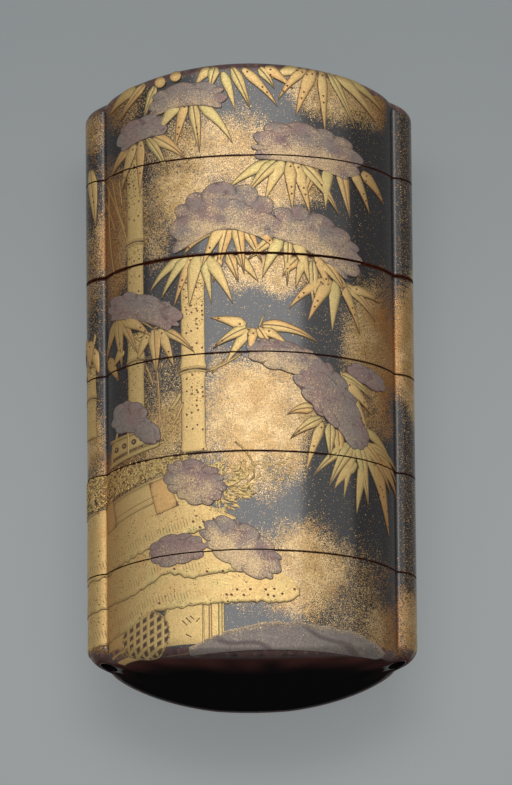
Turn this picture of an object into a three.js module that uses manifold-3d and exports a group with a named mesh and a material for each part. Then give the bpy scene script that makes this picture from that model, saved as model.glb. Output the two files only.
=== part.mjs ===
// A five-case inro: a small lacquered carrying box made of a lid and five shallow cases that stack
// on one another. Every case has a thin riser round its mouth that fits into a socket under the
// piece above it. A round tube down each side holds the cord channel. The box lies on its back.
//
// Units are millimetres. Each piece is shaped standing up, with its front towards -Y, and the
// whole stack is then laid on its back: front up, lid towards +Y, foot towards -Y.
import * as THREE from "three";
import { mergeVertices } from "three/addons/utils/BufferGeometryUtils.js";
import Module from "manifold-3d";

// Driving dimensions
const WIDTH = 46; // over both cord tubes
const DEPTH = 23; // front to back, before the flat on the back is taken off
const TUBE_RADIUS = 2.9;
const BODY_HALF_WIDTH = 20.9; // the oval body, whose ends run into the tubes
const REST_FLAT_DEPTH = 0.35; // taken off the crown of the back, so that the box lies still

const CASE_COUNT = 5;
const CASE_PITCH = 15; // from seam to seam
const FOOT_CASE_HEIGHT = 15.7; // at the middle of the front
const LID_HEIGHT = 14.3; // at the middle of the front
const SEAM_GAP = 0.2;

const LID_ARCH = 3.0; // fall of the lid's top from its middle to the grooves beside the tubes
const FOOT_ARCH = 3.4; // rise of the underside from its middle to the same grooves
const END_CROWN = 0.6; // swell of the top and the underside, from their front edge to their middle
const EDGE_ROUND = 1.0; // between the walls and the top or the underside
const TUBE_END_ROUND = 1.5; // the same edge, round the ends of the tubes

const SOCKET = { halfWidth: 18.0, halfDepth: 10.2 };
const RISER_CLEARANCE = 0.2;
const RISER_THICKNESS = 0.9;
const RISER_HEIGHT = 3.5;
const RISER_HEADROOM = 0.3; // left above a riser in the socket that takes it
const FLOOR_THICKNESS = 1.2;
const LID_CEILING = 10.9; // the lid's flat ceiling, above its rim
const FOOT_FLOOR = 4.6; // the foot case's floor, above the lowest point of its front edge

const CORD_BORE_RADIUS = 1.2;

// How finely curves are stepped
const FRONT_STEPS = 32;
const TUBE_STEPS = 10;
const BACK_SIDE_STEPS = 13;
const FLAT_STEPS = 4;
const ROUND_STEPS = 3;
const CROWN_RINGS = [0.7, 0.35];
const BORE_SIDES = 14;

const halfDepth = DEPTH / 2;
const tubeCentre = WIDTH / 2 - TUBE_RADIUS;
const socketDepth = RISER_HEIGHT + RISER_HEADROOM;
const riserOuter = {
  halfWidth: SOCKET.halfWidth - RISER_CLEARANCE,
  halfDepth: SOCKET.halfDepth - RISER_CLEARANCE,
};
const cavity = {
  halfWidth: riserOuter.halfWidth - RISER_THICKNESS,
  halfDepth: riserOuter.halfDepth - RISER_THICKNESS,
};
const stackHeight = FOOT_CASE_HEIGHT + (CASE_COUNT - 1) * CASE_PITCH + LID_HEIGHT;

const wasm = await Module();
wasm.setup();

// The angle on the oval where it runs into a tube, found by halving.
function grooveAngle() {
  let inside = 0;
  let outside = Math.PI / 2;
  for (let i = 0; i < 40; i += 1) {
    const angle = (inside + outside) / 2;
    const x = BODY_HALF_WIDTH * Math.cos(angle) - tubeCentre;
    const y = halfDepth * Math.sin(angle);
    if (Math.hypot(x, y) < TUBE_RADIUS) inside = angle;
    else outside = angle;
  }
  return outside;
}

// Points on the oval body from one angle to another, without the last one.
function ovalArc(from, to, steps) {
  return Array.from({ length: steps }, (_, i) => {
    const angle = from + ((to - from) * i) / steps;
    return new THREE.Vector2(BODY_HALF_WIDTH * Math.cos(angle), halfDepth * Math.sin(angle));
  });
}

// Points round a tube on the side given by sign, from one groove to the other, without the last.
function tubeArc(sign, groove) {
  const start = Math.atan2(groove.y, groove.x - tubeCentre);
  return Array.from({ length: TUBE_STEPS }, (_, i) => {
    const angle = -start + (2 * start * i) / TUBE_STEPS;
    return new THREE.Vector2(
      sign * (tubeCentre + TUBE_RADIUS * Math.cos(angle)),
      sign * TUBE_RADIUS * Math.sin(angle),
    );
  });
}

// The section of the box, anticlockwise from the front groove of the right-hand tube.
function sectionOutline() {
  const angle = grooveAngle();
  const groove = new THREE.Vector2(BODY_HALF_WIDTH * Math.cos(angle), halfDepth * Math.sin(angle));
  const flatAngle = Math.asin(1 - REST_FLAT_DEPTH / halfDepth);
  const flatHalfWidth = BODY_HALF_WIDTH * Math.cos(flatAngle);
  const flat = Array.from({ length: FLAT_STEPS }, (_, i) => {
    const x = flatHalfWidth * (1 - (2 * i) / FLAT_STEPS);
    return new THREE.Vector2(x, halfDepth - REST_FLAT_DEPTH);
  });
  return [
    ...tubeArc(1, groove),
    ...ovalArc(angle, flatAngle, BACK_SIDE_STEPS),
    ...flat,
    ...ovalArc(Math.PI - flatAngle, Math.PI - angle, BACK_SIDE_STEPS),
    ...tubeArc(-1, groove),
    ...ovalArc(Math.PI + angle, 2 * Math.PI - angle, FRONT_STEPS),
  ];
}

// The outward direction at each point of a closed outline.
function outwardNormals(points) {
  return points.map((_, i) => {
    const before = points[(i + points.length - 1) % points.length];
    const after = points[(i + 1) % points.length];
    const along = after.clone().sub(before);
    return new THREE.Vector2(along.y, -along.x).normalize();
  });
}

const outline = sectionOutline();
const normals = outwardNormals(outline);
const grooveX = BODY_HALF_WIDTH * Math.cos(grooveAngle());

// A ring of the outer wall at one height.
function wallRing(z) {
  return outline.map((p) => new THREE.Vector3(p.x, p.y, z));
}

// A ring of an inner oval, with a point facing each point of the outline.
function ovalRing({ halfWidth: a, halfDepth: b }, z) {
  return outline.map((p) => {
    const angle = Math.atan2(p.y / halfDepth, p.x / BODY_HALF_WIDTH);
    return new THREE.Vector3(a * Math.cos(angle), b * Math.sin(angle), z);
  });
}

// How far an arched and crowned end lies inside its highest point, at a place on it.
function endFall(x, y, arch) {
  const across = arch * (x / grooveX) ** 2;
  const frontToBack = END_CROWN * (y / halfDepth) ** 2;
  return across + frontToBack;
}

// The radius of the edge between wall and end: larger on the tubes.
function edgeRadius(x) {
  const onTube = THREE.MathUtils.smoothstep(Math.abs(x), grooveX - 1, grooveX + 1);
  return THREE.MathUtils.lerp(EDGE_ROUND, TUBE_END_ROUND, onTube);
}

// The rings of an end, from its middle out to the wall. towards is 1 for the lid, -1 for the foot.
function endRings(arch, frontEdgeZ, towards) {
  const peak = frontEdgeZ + towards * END_CROWN;
  const height = (x, y) => peak - towards * endFall(x, y, arch);
  const rounded = (turn) =>
    outline.map((p, i) => {
      const radius = edgeRadius(p.x);
      const x = p.x - normals[i].x * radius * (1 - Math.cos(turn));
      const y = p.y - normals[i].y * radius * (1 - Math.cos(turn));
      return new THREE.Vector3(x, y, height(x, y) - towards * radius * (1 - Math.sin(turn)));
    });
  const crown = rounded(Math.PI / 2);
  const rings = CROWN_RINGS.slice()
    .reverse()
    .map((share) =>
      crown.map((p) => {
        const x = p.x * share;
        const y = p.y * share;
        return new THREE.Vector3(x, y, height(x, y));
      }),
    );
  for (let i = ROUND_STEPS; i >= 0; i -= 1) rings.push(rounded(((Math.PI / 2) * i) / ROUND_STEPS));
  return { peak, rings };
}

// A closed skin over rings that run from the middle of the underside to the middle of the top.
function skin(rings, undersideZ, topZ) {
  const count = outline.length;
  const positions = [0, 0, undersideZ];
  for (const ring of rings) for (const p of ring) positions.push(p.x, p.y, p.z);
  positions.push(0, 0, topZ);
  const last = rings.length * count + 1;
  const at = (ring, point) => 1 + ring * count + (point % count);
  const index = [];
  for (let j = 0; j < count; j += 1) {
    index.push(0, at(0, j + 1), at(0, j));
    for (let i = 0; i < rings.length - 1; i += 1) {
      index.push(at(i, j), at(i, j + 1), at(i + 1, j + 1));
      index.push(at(i, j), at(i + 1, j + 1), at(i + 1, j));
    }
    index.push(last, at(rings.length - 1, j), at(rings.length - 1, j + 1));
  }
  const geometry = new THREE.BufferGeometry();
  geometry.setAttribute("position", new THREE.Float32BufferAttribute(positions, 3));
  geometry.setIndex(index);
  return geometry;
}

function toSolid(geometry) {
  const bare = geometry.clone();
  bare.deleteAttribute("normal");
  bare.deleteAttribute("uv");
  const merged = mergeVertices(bare);
  return new wasm.Manifold(
    new wasm.Mesh({
      numProp: 3,
      vertProperties: merged.attributes.position.array,
      triVerts: new Uint32Array(merged.index.array),
    }),
  );
}

function toGeometry(solid) {
  const { vertProperties, triVerts } = solid.getMesh();
  const geometry = new THREE.BufferGeometry();
  geometry.setAttribute("position", new THREE.BufferAttribute(vertProperties, 3));
  geometry.setIndex(new THREE.BufferAttribute(triVerts, 1));
  return geometry;
}

// Both cord channels, through the whole height.
function cordChannels() {
  const length = stackHeight * 1.5;
  return [-1, 1].map((side) => {
    const bore = new THREE.CylinderGeometry(
      CORD_BORE_RADIUS,
      CORD_BORE_RADIUS,
      length,
      BORE_SIDES,
    );
    bore.rotateX(Math.PI / 2);
    bore.translate(side * tubeCentre, 0, stackHeight / 2);
    return toSolid(bore);
  });
}

const channels = cordChannels();

function drilled(geometry) {
  return toGeometry(channels.reduce((solid, bore) => solid.subtract(bore), toSolid(geometry)));
}

// From the outer wall's top edge, over the rim and the riser, down to the floor of the hollow.
function mouthRings(rimZ, floorZ) {
  return [
    wallRing(rimZ),
    ovalRing(riserOuter, rimZ),
    ovalRing(riserOuter, rimZ + RISER_HEIGHT),
    ovalRing(cavity, rimZ + RISER_HEIGHT),
    ovalRing(cavity, floorZ),
  ];
}

// From the ceiling of the socket underneath to the outer wall's bottom edge.
function socketRings(rimZ, ceilingZ) {
  return [ovalRing(SOCKET, ceilingZ), ovalRing(SOCKET, rimZ), wallRing(rimZ)];
}

function lidGeometry(rimZ) {
  const ceiling = rimZ + LID_CEILING;
  const end = endRings(LID_ARCH, stackHeight, 1);
  return drilled(skin([...socketRings(rimZ, ceiling), ...end.rings.reverse()], ceiling, end.peak));
}

function middleCaseGeometry(bottomZ) {
  const ceiling = bottomZ + socketDepth;
  const floor = ceiling + FLOOR_THICKNESS;
  const rim = bottomZ + CASE_PITCH - SEAM_GAP;
  return drilled(skin([...socketRings(bottomZ, ceiling), ...mouthRings(rim, floor)], ceiling, floor));
}

function footCaseGeometry() {
  const end = endRings(FOOT_ARCH, 0, -1);
  const rings = [...end.rings, ...mouthRings(FOOT_CASE_HEIGHT - SEAM_GAP, FOOT_FLOOR)];
  return drilled(skin(rings, end.peak, FOOT_FLOOR));
}

// Black lacquer under gold dust
function lacquer(color, roughness, metalness) {
  return new THREE.MeshStandardMaterial({ color, roughness, metalness });
}

const standing = new THREE.Group();

function addPiece(name, geometry, material) {
  const piece = new THREE.Mesh(geometry, material);
  piece.name = name;
  standing.add(piece);
}

const lidRim = FOOT_CASE_HEIGHT + (CASE_COUNT - 1) * CASE_PITCH;
addPiece("lid", lidGeometry(lidRim), lacquer(0x5c4a2c, 0.3, 0.35));
for (let number = 1; number < CASE_COUNT; number += 1) {
  const bottom = lidRim - number * CASE_PITCH;
  addPiece(`case_${number}`, middleCaseGeometry(bottom), lacquer(0x7a5f34, 0.3, 0.4));
}
addPiece(`case_${CASE_COUNT}`, footCaseGeometry(), lacquer(0x8a6c3a, 0.32, 0.45));

// Laid on its back, centred over the origin
standing.rotation.x = -Math.PI / 2;
standing.position.set(0, -stackHeight / 2, halfDepth - REST_FLAT_DEPTH);

const inro = new THREE.Group();
inro.add(standing);

export default inro;
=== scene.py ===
import math

import bmesh
import bpy
import numpy as np
from mathutils import Matrix, Vector


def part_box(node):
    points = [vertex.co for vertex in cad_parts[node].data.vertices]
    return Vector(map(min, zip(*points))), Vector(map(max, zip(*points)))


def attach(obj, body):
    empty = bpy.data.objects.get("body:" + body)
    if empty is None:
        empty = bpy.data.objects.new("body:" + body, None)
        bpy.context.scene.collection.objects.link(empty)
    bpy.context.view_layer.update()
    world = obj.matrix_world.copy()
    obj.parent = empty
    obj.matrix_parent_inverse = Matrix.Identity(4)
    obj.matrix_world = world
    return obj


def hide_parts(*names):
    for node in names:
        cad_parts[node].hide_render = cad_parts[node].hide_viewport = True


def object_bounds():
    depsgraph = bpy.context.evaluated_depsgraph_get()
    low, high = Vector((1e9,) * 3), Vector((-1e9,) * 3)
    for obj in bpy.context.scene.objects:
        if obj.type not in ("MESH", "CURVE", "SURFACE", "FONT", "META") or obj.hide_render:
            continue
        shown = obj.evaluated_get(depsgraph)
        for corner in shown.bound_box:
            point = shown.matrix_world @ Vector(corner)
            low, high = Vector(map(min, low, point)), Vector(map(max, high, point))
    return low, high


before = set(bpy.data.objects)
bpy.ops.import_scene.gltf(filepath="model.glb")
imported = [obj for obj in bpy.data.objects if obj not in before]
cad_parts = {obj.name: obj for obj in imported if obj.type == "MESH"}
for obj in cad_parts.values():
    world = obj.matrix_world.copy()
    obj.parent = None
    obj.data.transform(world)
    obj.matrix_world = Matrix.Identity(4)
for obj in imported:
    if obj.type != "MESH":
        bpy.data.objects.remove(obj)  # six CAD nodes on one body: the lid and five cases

cadLow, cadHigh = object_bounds()
tierNames = ["lid", "case_1", "case_2", "case_3", "case_4", "case_5"]
metre = 0.001  # the numbers below are millimetres


# The box's own shape

boxShape = {
    "ovalHalfWidth": 20.9,
    "tubeRadius": 2.9,
    "restFlat": 0.35,  # how much the back is planed flat
    "grooveSoftness": 0.13,
    "lidArch": 3.0,  # fall of each end from its middle to the grooves
    "footArch": 3.4,
    "endCrown": 0.6,  # and from its middle to the front
    "edgeRound": 1.0,
    "tubeEndRound": 1.5,
    "seamGap": 0.11,  # narrower than the bare cases' 0.2, as lacquer builds up on their lips
    "rimBevel": 0.06,
    "socket": (18.0, 10.2),
    "riser": (17.8, 10.0),
    "hollow": (16.9, 9.1),
    "riserHeight": 3.5,
    "socketDepth": 3.8,
    "floorThickness": 1.2,
    "lidCeiling": 10.9,
    "footFloor": 4.6,
    "boreRadius": 1.2,
}

halfWidth = (cadHigh.x - cadLow.x) / metre / 2
halfDepth = ((cadHigh.z - cadLow.z) / metre + boxShape["restFlat"]) / 2
midZ = cadHigh.z / metre - halfDepth
tubeCentre = halfWidth - boxShape["tubeRadius"]
footEdgeY = cadLow.y / metre + boxShape["endCrown"]  # where up is 0: the front edge of the foot
lidEdgeUp = cadHigh.y / metre - boxShape["endCrown"] - footEdgeY


def rimUp(node):
    # height of a node's lower rim above the foot's front edge
    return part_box(node)[0].y / metre - footEdgeY


seams = [rimUp(name) for name in tierNames[:-1]]


def smooth(low, high, value):
    # 0 up to low and 1 from high on, with a soft S between them
    share = np.clip((value - low) / (high - low), 0, 1)
    return share * share * (3 - 2 * share)


def makeSection():
    # The closed outline seen along the stack: an oval, a tube's circle at each end, a flat on the back.
    # Each direction from the middle takes the outermost of the two curves. The outline is then evened out
    # by arc length and blurred a little, which rounds the grooves.
    turn = np.linspace(-math.pi, math.pi, 24001)[:-1]  # 0 is the front, positive to the right
    dx, dy = np.sin(turn), np.cos(turn)
    a, b = boxShape["ovalHalfWidth"], halfDepth
    oval = 1 / np.sqrt((dx / a) ** 2 + (dy / b) ** 2)
    along = tubeCentre * np.abs(dx)
    inside = boxShape["tubeRadius"] ** 2 - tubeCentre**2 + along**2
    tube = np.where(inside > 0, along + np.sqrt(np.maximum(inside, 0)), 0)
    reach = np.maximum(oval, tube)
    x, y = reach * dx, np.maximum(reach * dy, -halfDepth + boxShape["restFlat"])
    step = np.hypot(np.diff(x, append=x[0]), np.diff(y, append=y[0]))
    run = np.concatenate([[0], np.cumsum(step)])
    count = 4480
    even = np.linspace(0, run[-1], count, endpoint=False)
    x = np.interp(even, run, np.append(x, x[0]))
    y = np.interp(even, run, np.append(y, y[0]))
    spacing = run[-1] / count
    reachCells = int(4 * boxShape["grooveSoftness"] / spacing)
    cells = np.arange(-reachCells, reachCells + 1)
    weights = np.exp(-((cells * spacing / boxShape["grooveSoftness"]) ** 2) / 2)
    weights /= weights.sum()
    blur = lambda v: sum(w * np.roll(v, c) for w, c in zip(weights, cells))
    x, y = blur(x), blur(y)
    tx, ty = np.roll(x, -1) - np.roll(x, 1), np.roll(y, -1) - np.roll(y, 1)
    size = np.hypot(tx, ty)
    front = count // 2
    order = lambda v: np.roll(v, -front)
    return {"girth": run[-1], "x": order(x), "y": order(y),
            "nx": order(-ty / size), "ny": order(tx / size)}


section = makeSection()
girth = section["girth"]


def meetingPoint():
    # how far out the oval and the tube's circle cross: a quadratic in x
    squash = (halfDepth / boxShape["ovalHalfWidth"]) ** 2 - 1
    rest = boxShape["tubeRadius"] ** 2 - tubeCentre**2 - halfDepth**2
    return (-2 * tubeCentre + math.sqrt(4 * tubeCentre**2 - 4 * squash * rest)) / (2 * squash)


grooveX = meetingPoint()
print("groove at", round(grooveX, 3), "mm")


def sectionAt(across):
    # the outline's points and normals at arc lengths from the middle of the front
    count = len(section["x"])
    place = np.mod(np.asarray(across, float) / girth, 1.0) * count
    low = np.floor(place).astype(int) % count
    after = (low + 1) % count
    share = place - np.floor(place)
    return [section[k][low] * (1 - share) + section[k][after] * share for k in ("x", "y", "nx", "ny")]


def endOf(towards):
    return ("lidArch", lidEdgeUp) if towards > 0 else ("footArch", 0.0)


def endHeight(x, y, towards):
    # an arched and crowned end: its peak, less the arch across and the crown from front to back
    arch, edge = endOf(towards)
    fall = boxShape[arch] * (x / grooveX) ** 2 + boxShape["endCrown"] * (y / halfDepth) ** 2
    return edge + towards * (boxShape["endCrown"] - fall)


def edgeRadius(x):
    # the rounding of an end's edge: larger on the tubes than on the oval
    share = smooth(-1, 1, np.abs(x) - grooveX)
    return boxShape["edgeRound"] + (boxShape["tubeEndRound"] - boxShape["edgeRound"]) * share


def wallLimit(across, towards):
    # how far up the straight wall runs before it rounds into the lid's top, or down into the underside
    x, y, _, _ = sectionAt(across)
    return endHeight(x, y, towards) - towards * edgeRadius(x)


def endPoint(across, path, towards):
    # Past the wall: a quarter round of radius r, then straight in towards the middle of the end.
    x0, y0, nx, ny = sectionAt(across)
    radius = edgeRadius(x0)
    turn = np.clip(path / radius, 0, math.pi / 2)
    inset = radius * (1 - np.cos(turn))
    x, y = x0 - nx * inset, y0 - ny * inset
    further = np.maximum(path - radius * math.pi / 2, 0)
    share = np.clip(1 - further / np.hypot(x, y), 0, 1)
    x, y = x * share, y * share
    up = endHeight(x, y, towards) - towards * radius * (1 - np.sin(turn))
    arch, _ = endOf(towards)
    gx = 2 * boxShape[arch] * x / grooveX**2
    gy = 2 * boxShape["endCrown"] * y / halfDepth**2
    normal = np.stack([np.cos(turn) * nx + np.sin(turn) * gx, np.sin(turn) * towards,
                       np.cos(turn) * ny + np.sin(turn) * gy], -1)
    return np.stack([x, up, y], -1), normal / np.linalg.norm(normal, axis=-1, keepdims=True)


def onSurface(across, up, height=0.0):
    # A point of the decorated surface: across is the arc length from the front's middle, up the distance
    # from the foot's front edge. Beyond a rim, up runs on over the rounded edge and across the end.
    across, up = np.broadcast_arrays(np.asarray(across, float), np.asarray(up, float))
    x, y, nx, ny = sectionAt(across)
    place = np.stack([x, up, y], -1)
    normal = np.stack([nx, np.zeros_like(nx), ny], -1)
    for towards in (1, -1):
        past = towards * (up - wallLimit(across, towards))
        over = past > 0
        if over.any():
            place[over], normal[over] = endPoint(across[over], past[over], towards)
    place = place + normal * np.asarray(height)[..., None]
    return toWorld(place)


def toWorld(place):
    return np.stack([place[..., 0], place[..., 1] + footEdgeY, place[..., 2] + midZ], -1) * metre


# Soft fields painted on the surface

def ripple(across, up, size, seed):
    # smooth noise, mostly between -1 and 1: eight waves in fixed random directions
    rng = np.random.default_rng(seed)
    total = 0
    for _ in range(8):
        angle, phase, stretch = rng.uniform(0, math.tau), rng.uniform(0, math.tau), rng.uniform(0.6, 1.8)
        run = across * math.cos(angle) + up * math.sin(angle)
        total = total + np.sin(run * math.tau * stretch / size + phase)
    return total / 4


def wrapRound(across):
    # the same place given as the shorter way round from the front's middle
    return (across + girth / 2) % girth - girth / 2


# (across, up, half width, half height, strength) of each cloud of gold dust
goldClouds = [
    (-4.2, 76.8, 7.9, 5.6, 0.78), (14.0, 86.2, 8.0, 4.4, 0.8), (-9.0, 70.0, 5.5, 5.0, 0.84),
    (-14.0, 68.0, 4.0, 7.0, 0.45), (-12.5, 78.5, 4.5, 5.0, 0.35), (3.5, 58.3, 7.5, 3.4, 0.85),
    (19.2, 48.5, 5.6, 10.5, 0.9), (1.0, 35.4, 8.0, 10.2, 1.05), (6.4, 12.8, 8.2, 6.6, 0.9),
    (15.0, 9.0, 7.5, 8.0, 0.3), (20.5, 5.0, 4.0, 6.0, 0.7), (-20.8, 66.0, 3.6, 11.0, 0.75),
    (-19.0, 86.5, 4.0, 4.5, 0.5), (-19.5, 2.6, 5.5, 3.0, 1.0), (27.2, 50.0, 5.2, 11.0, 1.0),
    (27.0, 6.5, 4.5, 7.0, 0.85), (-26.5, 84.0, 3.5, 4.0, 0.75), (-18.0, 29.5, 12.0, 4.5, 0.55),
    (-12.5, 35.0, 4.5, 5.5, 0.75), (-26.0, 61.0, 3.0, 7.0, 0.45), (-26.8, 37.5, 3.6, 5.5, 1.0),
    (4.4, 70.6, 5.5, 3.0, 0.8), (19.0, 38.0, 4.0, 3.0, 0.55), (-13.0, 41.0, 5.0, 6.0, 0.25),
    (-26.0, 14.0, 4.5, 14.0, 0.7),
    # the back
    (43.0, 80.0, 9.0, 6.0, 0.8), (-44.0, 70.0, 8.0, 8.0, 0.8), (50.0, 52.0, 9.0, 8.0, 0.85),
    (-42.0, 38.0, 9.0, 9.0, 0.8), (40.0, 20.0, 10.0, 6.0, 0.8), (-50.0, 10.0, 9.0, 7.0, 0.85),
    (47.0, 66.0, 6.0, 10.0, 0.6), (-49.0, 54.0, 7.0, 7.0, 0.6), (45.0, 36.0, 6.0, 8.0, 0.5),
    (-40.0, 88.0, 8.0, 4.0, 0.7),
]
strayDust = {"everywhere": 0.02, "tubes": 0.1}
tubeSpan = (23.0, 32.0)  # arc lengths between which a tube lies


def goldAmount(across, up):
    # The densest cloud at a place. A cloud is full to half of its size and gone a third beyond it, and its
    # rim wanders. The tubes carry some stray dust everywhere.
    wrapped = wrapRound(np.asarray(across))
    inner, outer = tubeSpan
    onTube = smooth(inner, inner + 1.5, np.abs(wrapped)) * smooth(outer, outer - 1.5, np.abs(wrapped))
    total = strayDust["everywhere"] + strayDust["tubes"] * onTube
    wander = 0.20 * ripple(wrapped, up, 9, 3) + 0.08 * ripple(wrapped, up, 2.6, 4)
    for s, u, halfS, halfU, strength in goldClouds:
        reach = np.sqrt((wrapRound(wrapped - s) / halfS) ** 2 + ((up - u) / halfU) ** 2) + wander
        total = np.maximum(total, strength * (1 - smooth(0.5, 1.35, reach)))
    return total * (1 - undersideAmount(across, up))


# bands of amber and painted shade: arc length from the front's middle, and reach on the right and the left
amberShadeBand = {"middle": 22.6, "right": 4.4, "left": 4.8}


def amberAndSideShade(across, up):
    # how much warmer, redder and darker the dust is: a bell curve over each front groove, weaker on the
    # tubes
    # partly the dust's own amber, partly painted shade where the sides turn away from the lamps
    wrapped = wrapRound(np.asarray(across))
    reach = np.where(wrapped > 0, amberShadeBand["right"], amberShadeBand["left"])
    side = np.exp(-(((np.abs(wrapped) - amberShadeBand["middle"]) / reach) ** 2))
    side = side * (1 - 0.6 * smooth(22.9, 23.8, np.abs(wrapped)))
    return np.clip(side + 0.18 * ripple(wrapped, up, 11, 8), 0, 1)


# how far the painted shade reaches beyond each seam's gap
seamShadeWidth = {"case_1": 0.36}  # the widest line shows below the top case
seamShadeWidthUsual = 0.1


def seamShade(up):
    # painted shade along each seam, widening the gap's dark line, in the lacquer's dark red-brown
    shade = 0
    for name, seam in zip(tierNames, seams):
        gap = np.abs(up - seam + boxShape["seamGap"] / 2) - boxShape["seamGap"] / 2
        bare = seamShadeWidth.get(name, seamShadeWidthUsual)
        shade = np.maximum(shade, 1 - smooth(0.4 * bare, bare, gap))
    return shade


def undersideAmount(across, up):
    # 1 on the foot's underside, which is a darker black with less shine
    return smooth(0.5, 2.2, wallLimit(across, -1) - up)


def rimWearAndHighlight(across, up):
    # rubbed lacquer at the seams, and in a wider band round the lid's and the foot's rounded edges
    # the foot's band is also a painted highlight along that edge
    line = 0
    for seam in seams:
        line = np.maximum(line, np.exp(-(((up - seam + boxShape["seamGap"] / 2) / 0.22) ** 2)))
    uneven = 0.75 + 0.35 * ripple(across, up, 7, 21)
    line = line * uneven
    for towards, start, stop in ((1, -0.2, 2.0), (-1, 0.1, 1.6)):
        past = towards * (up - wallLimit(across, towards)) - 0.5 * smooth(20, 24, np.abs(across))
        worn = past + 0.25 * uneven
        band = smooth(start - 0.35, start + 0.35, worn) * smooth(stop + 0.8, stop - 0.8, past)
        line = np.maximum(line, band)
    return np.clip(line, 0, 1)


def footGlow(across, up):
    # dark red on the underside, fading in from 1 mm past the wall's end and out by 7.5 mm, except at the
    # back
    past = wallLimit(across, -1) - up
    front = smooth(34, 26, np.abs(across))
    return front * smooth(1.0, 2.0, past) * smooth(7.5, 2.0, past) * (0.7 + 0.3 * ripple(across, up, 8, 23))


# Materials

def newMaterial(name, **sockets):
    material = bpy.data.materials.new(name)
    material.use_nodes = True
    shader = material.node_tree.nodes["Principled BSDF"]
    for key, value in sockets.items():
        shader.inputs[key.replace("_", " ")].default_value = value
    return material, shader


class Nodes:
    # short ways to add nodes; every value may be a number, a colour or another node's output

    def __init__(self, material):
        self.tree = material.node_tree

    def add(self, kind, values=None, **settings):
        node = self.tree.nodes.new("ShaderNode" + kind)
        for key, value in settings.items():
            setattr(node, key, value)
        for key, value in (values or {}).items():
            self.join(value, node.inputs[key])
        return node

    def join(self, value, socket):
        if isinstance(value, bpy.types.NodeSocket):
            self.tree.links.new(value, socket)
        elif hasattr(value, "__len__") and len(value) == 3 and socket.type == "RGBA":
            socket.default_value = (*value, 1)
        else:
            socket.default_value = value

    def math(self, operation, a, b=0.0, c=0.0):
        return self.add("Math", {0: a, 1: b, 2: c}, operation=operation).outputs[0]

    def mix(self, share, a, b):
        node = self.add("Mix", {"Factor": share}, data_type="RGBA")
        self.join(a, node.inputs[6])
        self.join(b, node.inputs[7])
        return node.outputs[2]

    def level(self, share, a, b):
        node = self.add("Mix", {"Factor": share}, data_type="FLOAT")
        self.join(a, node.inputs[2])
        self.join(b, node.inputs[3])
        return node.outputs[0]

    def scaled(self, colour, by):
        return self.add("VectorMath", {0: colour, "Scale": by}, operation="SCALE").outputs[0]

    def ramp(self, value, low, high):
        return self.add("MapRange", {0: value, 1: low, 2: high}, interpolation_type="SMOOTHSTEP").outputs[0]

    def field(self, name):
        return self.add("Attribute", attribute_name=name).outputs["Fac"]

    def place(self):
        return self.add("TexCoord").outputs["Object"]

    def cells(self, where, scale, dimensions="3D", jitter=1.0):
        # a Voronoi pattern: two random numbers for each cell, and the distance to its middle
        node = self.add("TexVoronoi", {"Vector": where, "Scale": scale, "Randomness": jitter},
                        voronoi_dimensions=dimensions)
        parts = self.add("SeparateColor", {0: node.outputs["Color"]})
        return parts.outputs[0], parts.outputs[1], node.outputs["Distance"]

    def noise(self, where, scale, detail=2.0):
        return self.add("TexNoise", {"Vector": where, "Scale": scale, "Detail": detail}).outputs[0]

    def bump(self, shader, height, distance, strength):
        node = self.add("Bump", {"Height": height, "Distance": distance, "Strength": strength})
        self.join(node.outputs[0], shader.inputs["Normal"])


dust = {
    # sizes of the patterns, in cells per metre
    "powder": 14000.0,
    "flake": 8000.0,
    "clouding": 420.0,
    "wearPatches": 900.0,
    "wearSpots": 1400.0,
    # colours
    "pale": (0.80, 0.54, 0.25),
    "rich": (0.64, 0.40, 0.155),
    # amber that also stands for painted shade on the sides
    "shadedAmber": (0.50, 0.21, 0.045),
    "black": (0.0165, 0.0118, 0.0112),
    "undersideBlack": (0.0085, 0.008, 0.0085),
    "seam": (0.05, 0.012, 0.007),
    "wear": (0.105, 0.047, 0.040),
    "rubbed": (0.24, 0.12, 0.09),
    "glow": (0.115, 0.042, 0.034),
}


def goldDust(nodes, amount, where):
    # where fine powder and coarser flakes lie, from 0 to 1, with a random brightness for each grain
    fine, fineTone, _ = nodes.cells(where, dust["powder"])
    coarse, coarseTone, _ = nodes.cells(where, dust["flake"])
    powder = nodes.math("LESS_THAN", fine, nodes.math("MULTIPLY", amount, 0.92))
    flake = nodes.math("LESS_THAN", coarse, nodes.math("MULTIPLY", nodes.math("POWER", amount, 1.4), 0.5))
    lying = nodes.math("MAXIMUM", powder, flake)
    tone = nodes.level(flake, fineTone, coarseTone)
    return lying, tone


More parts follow.
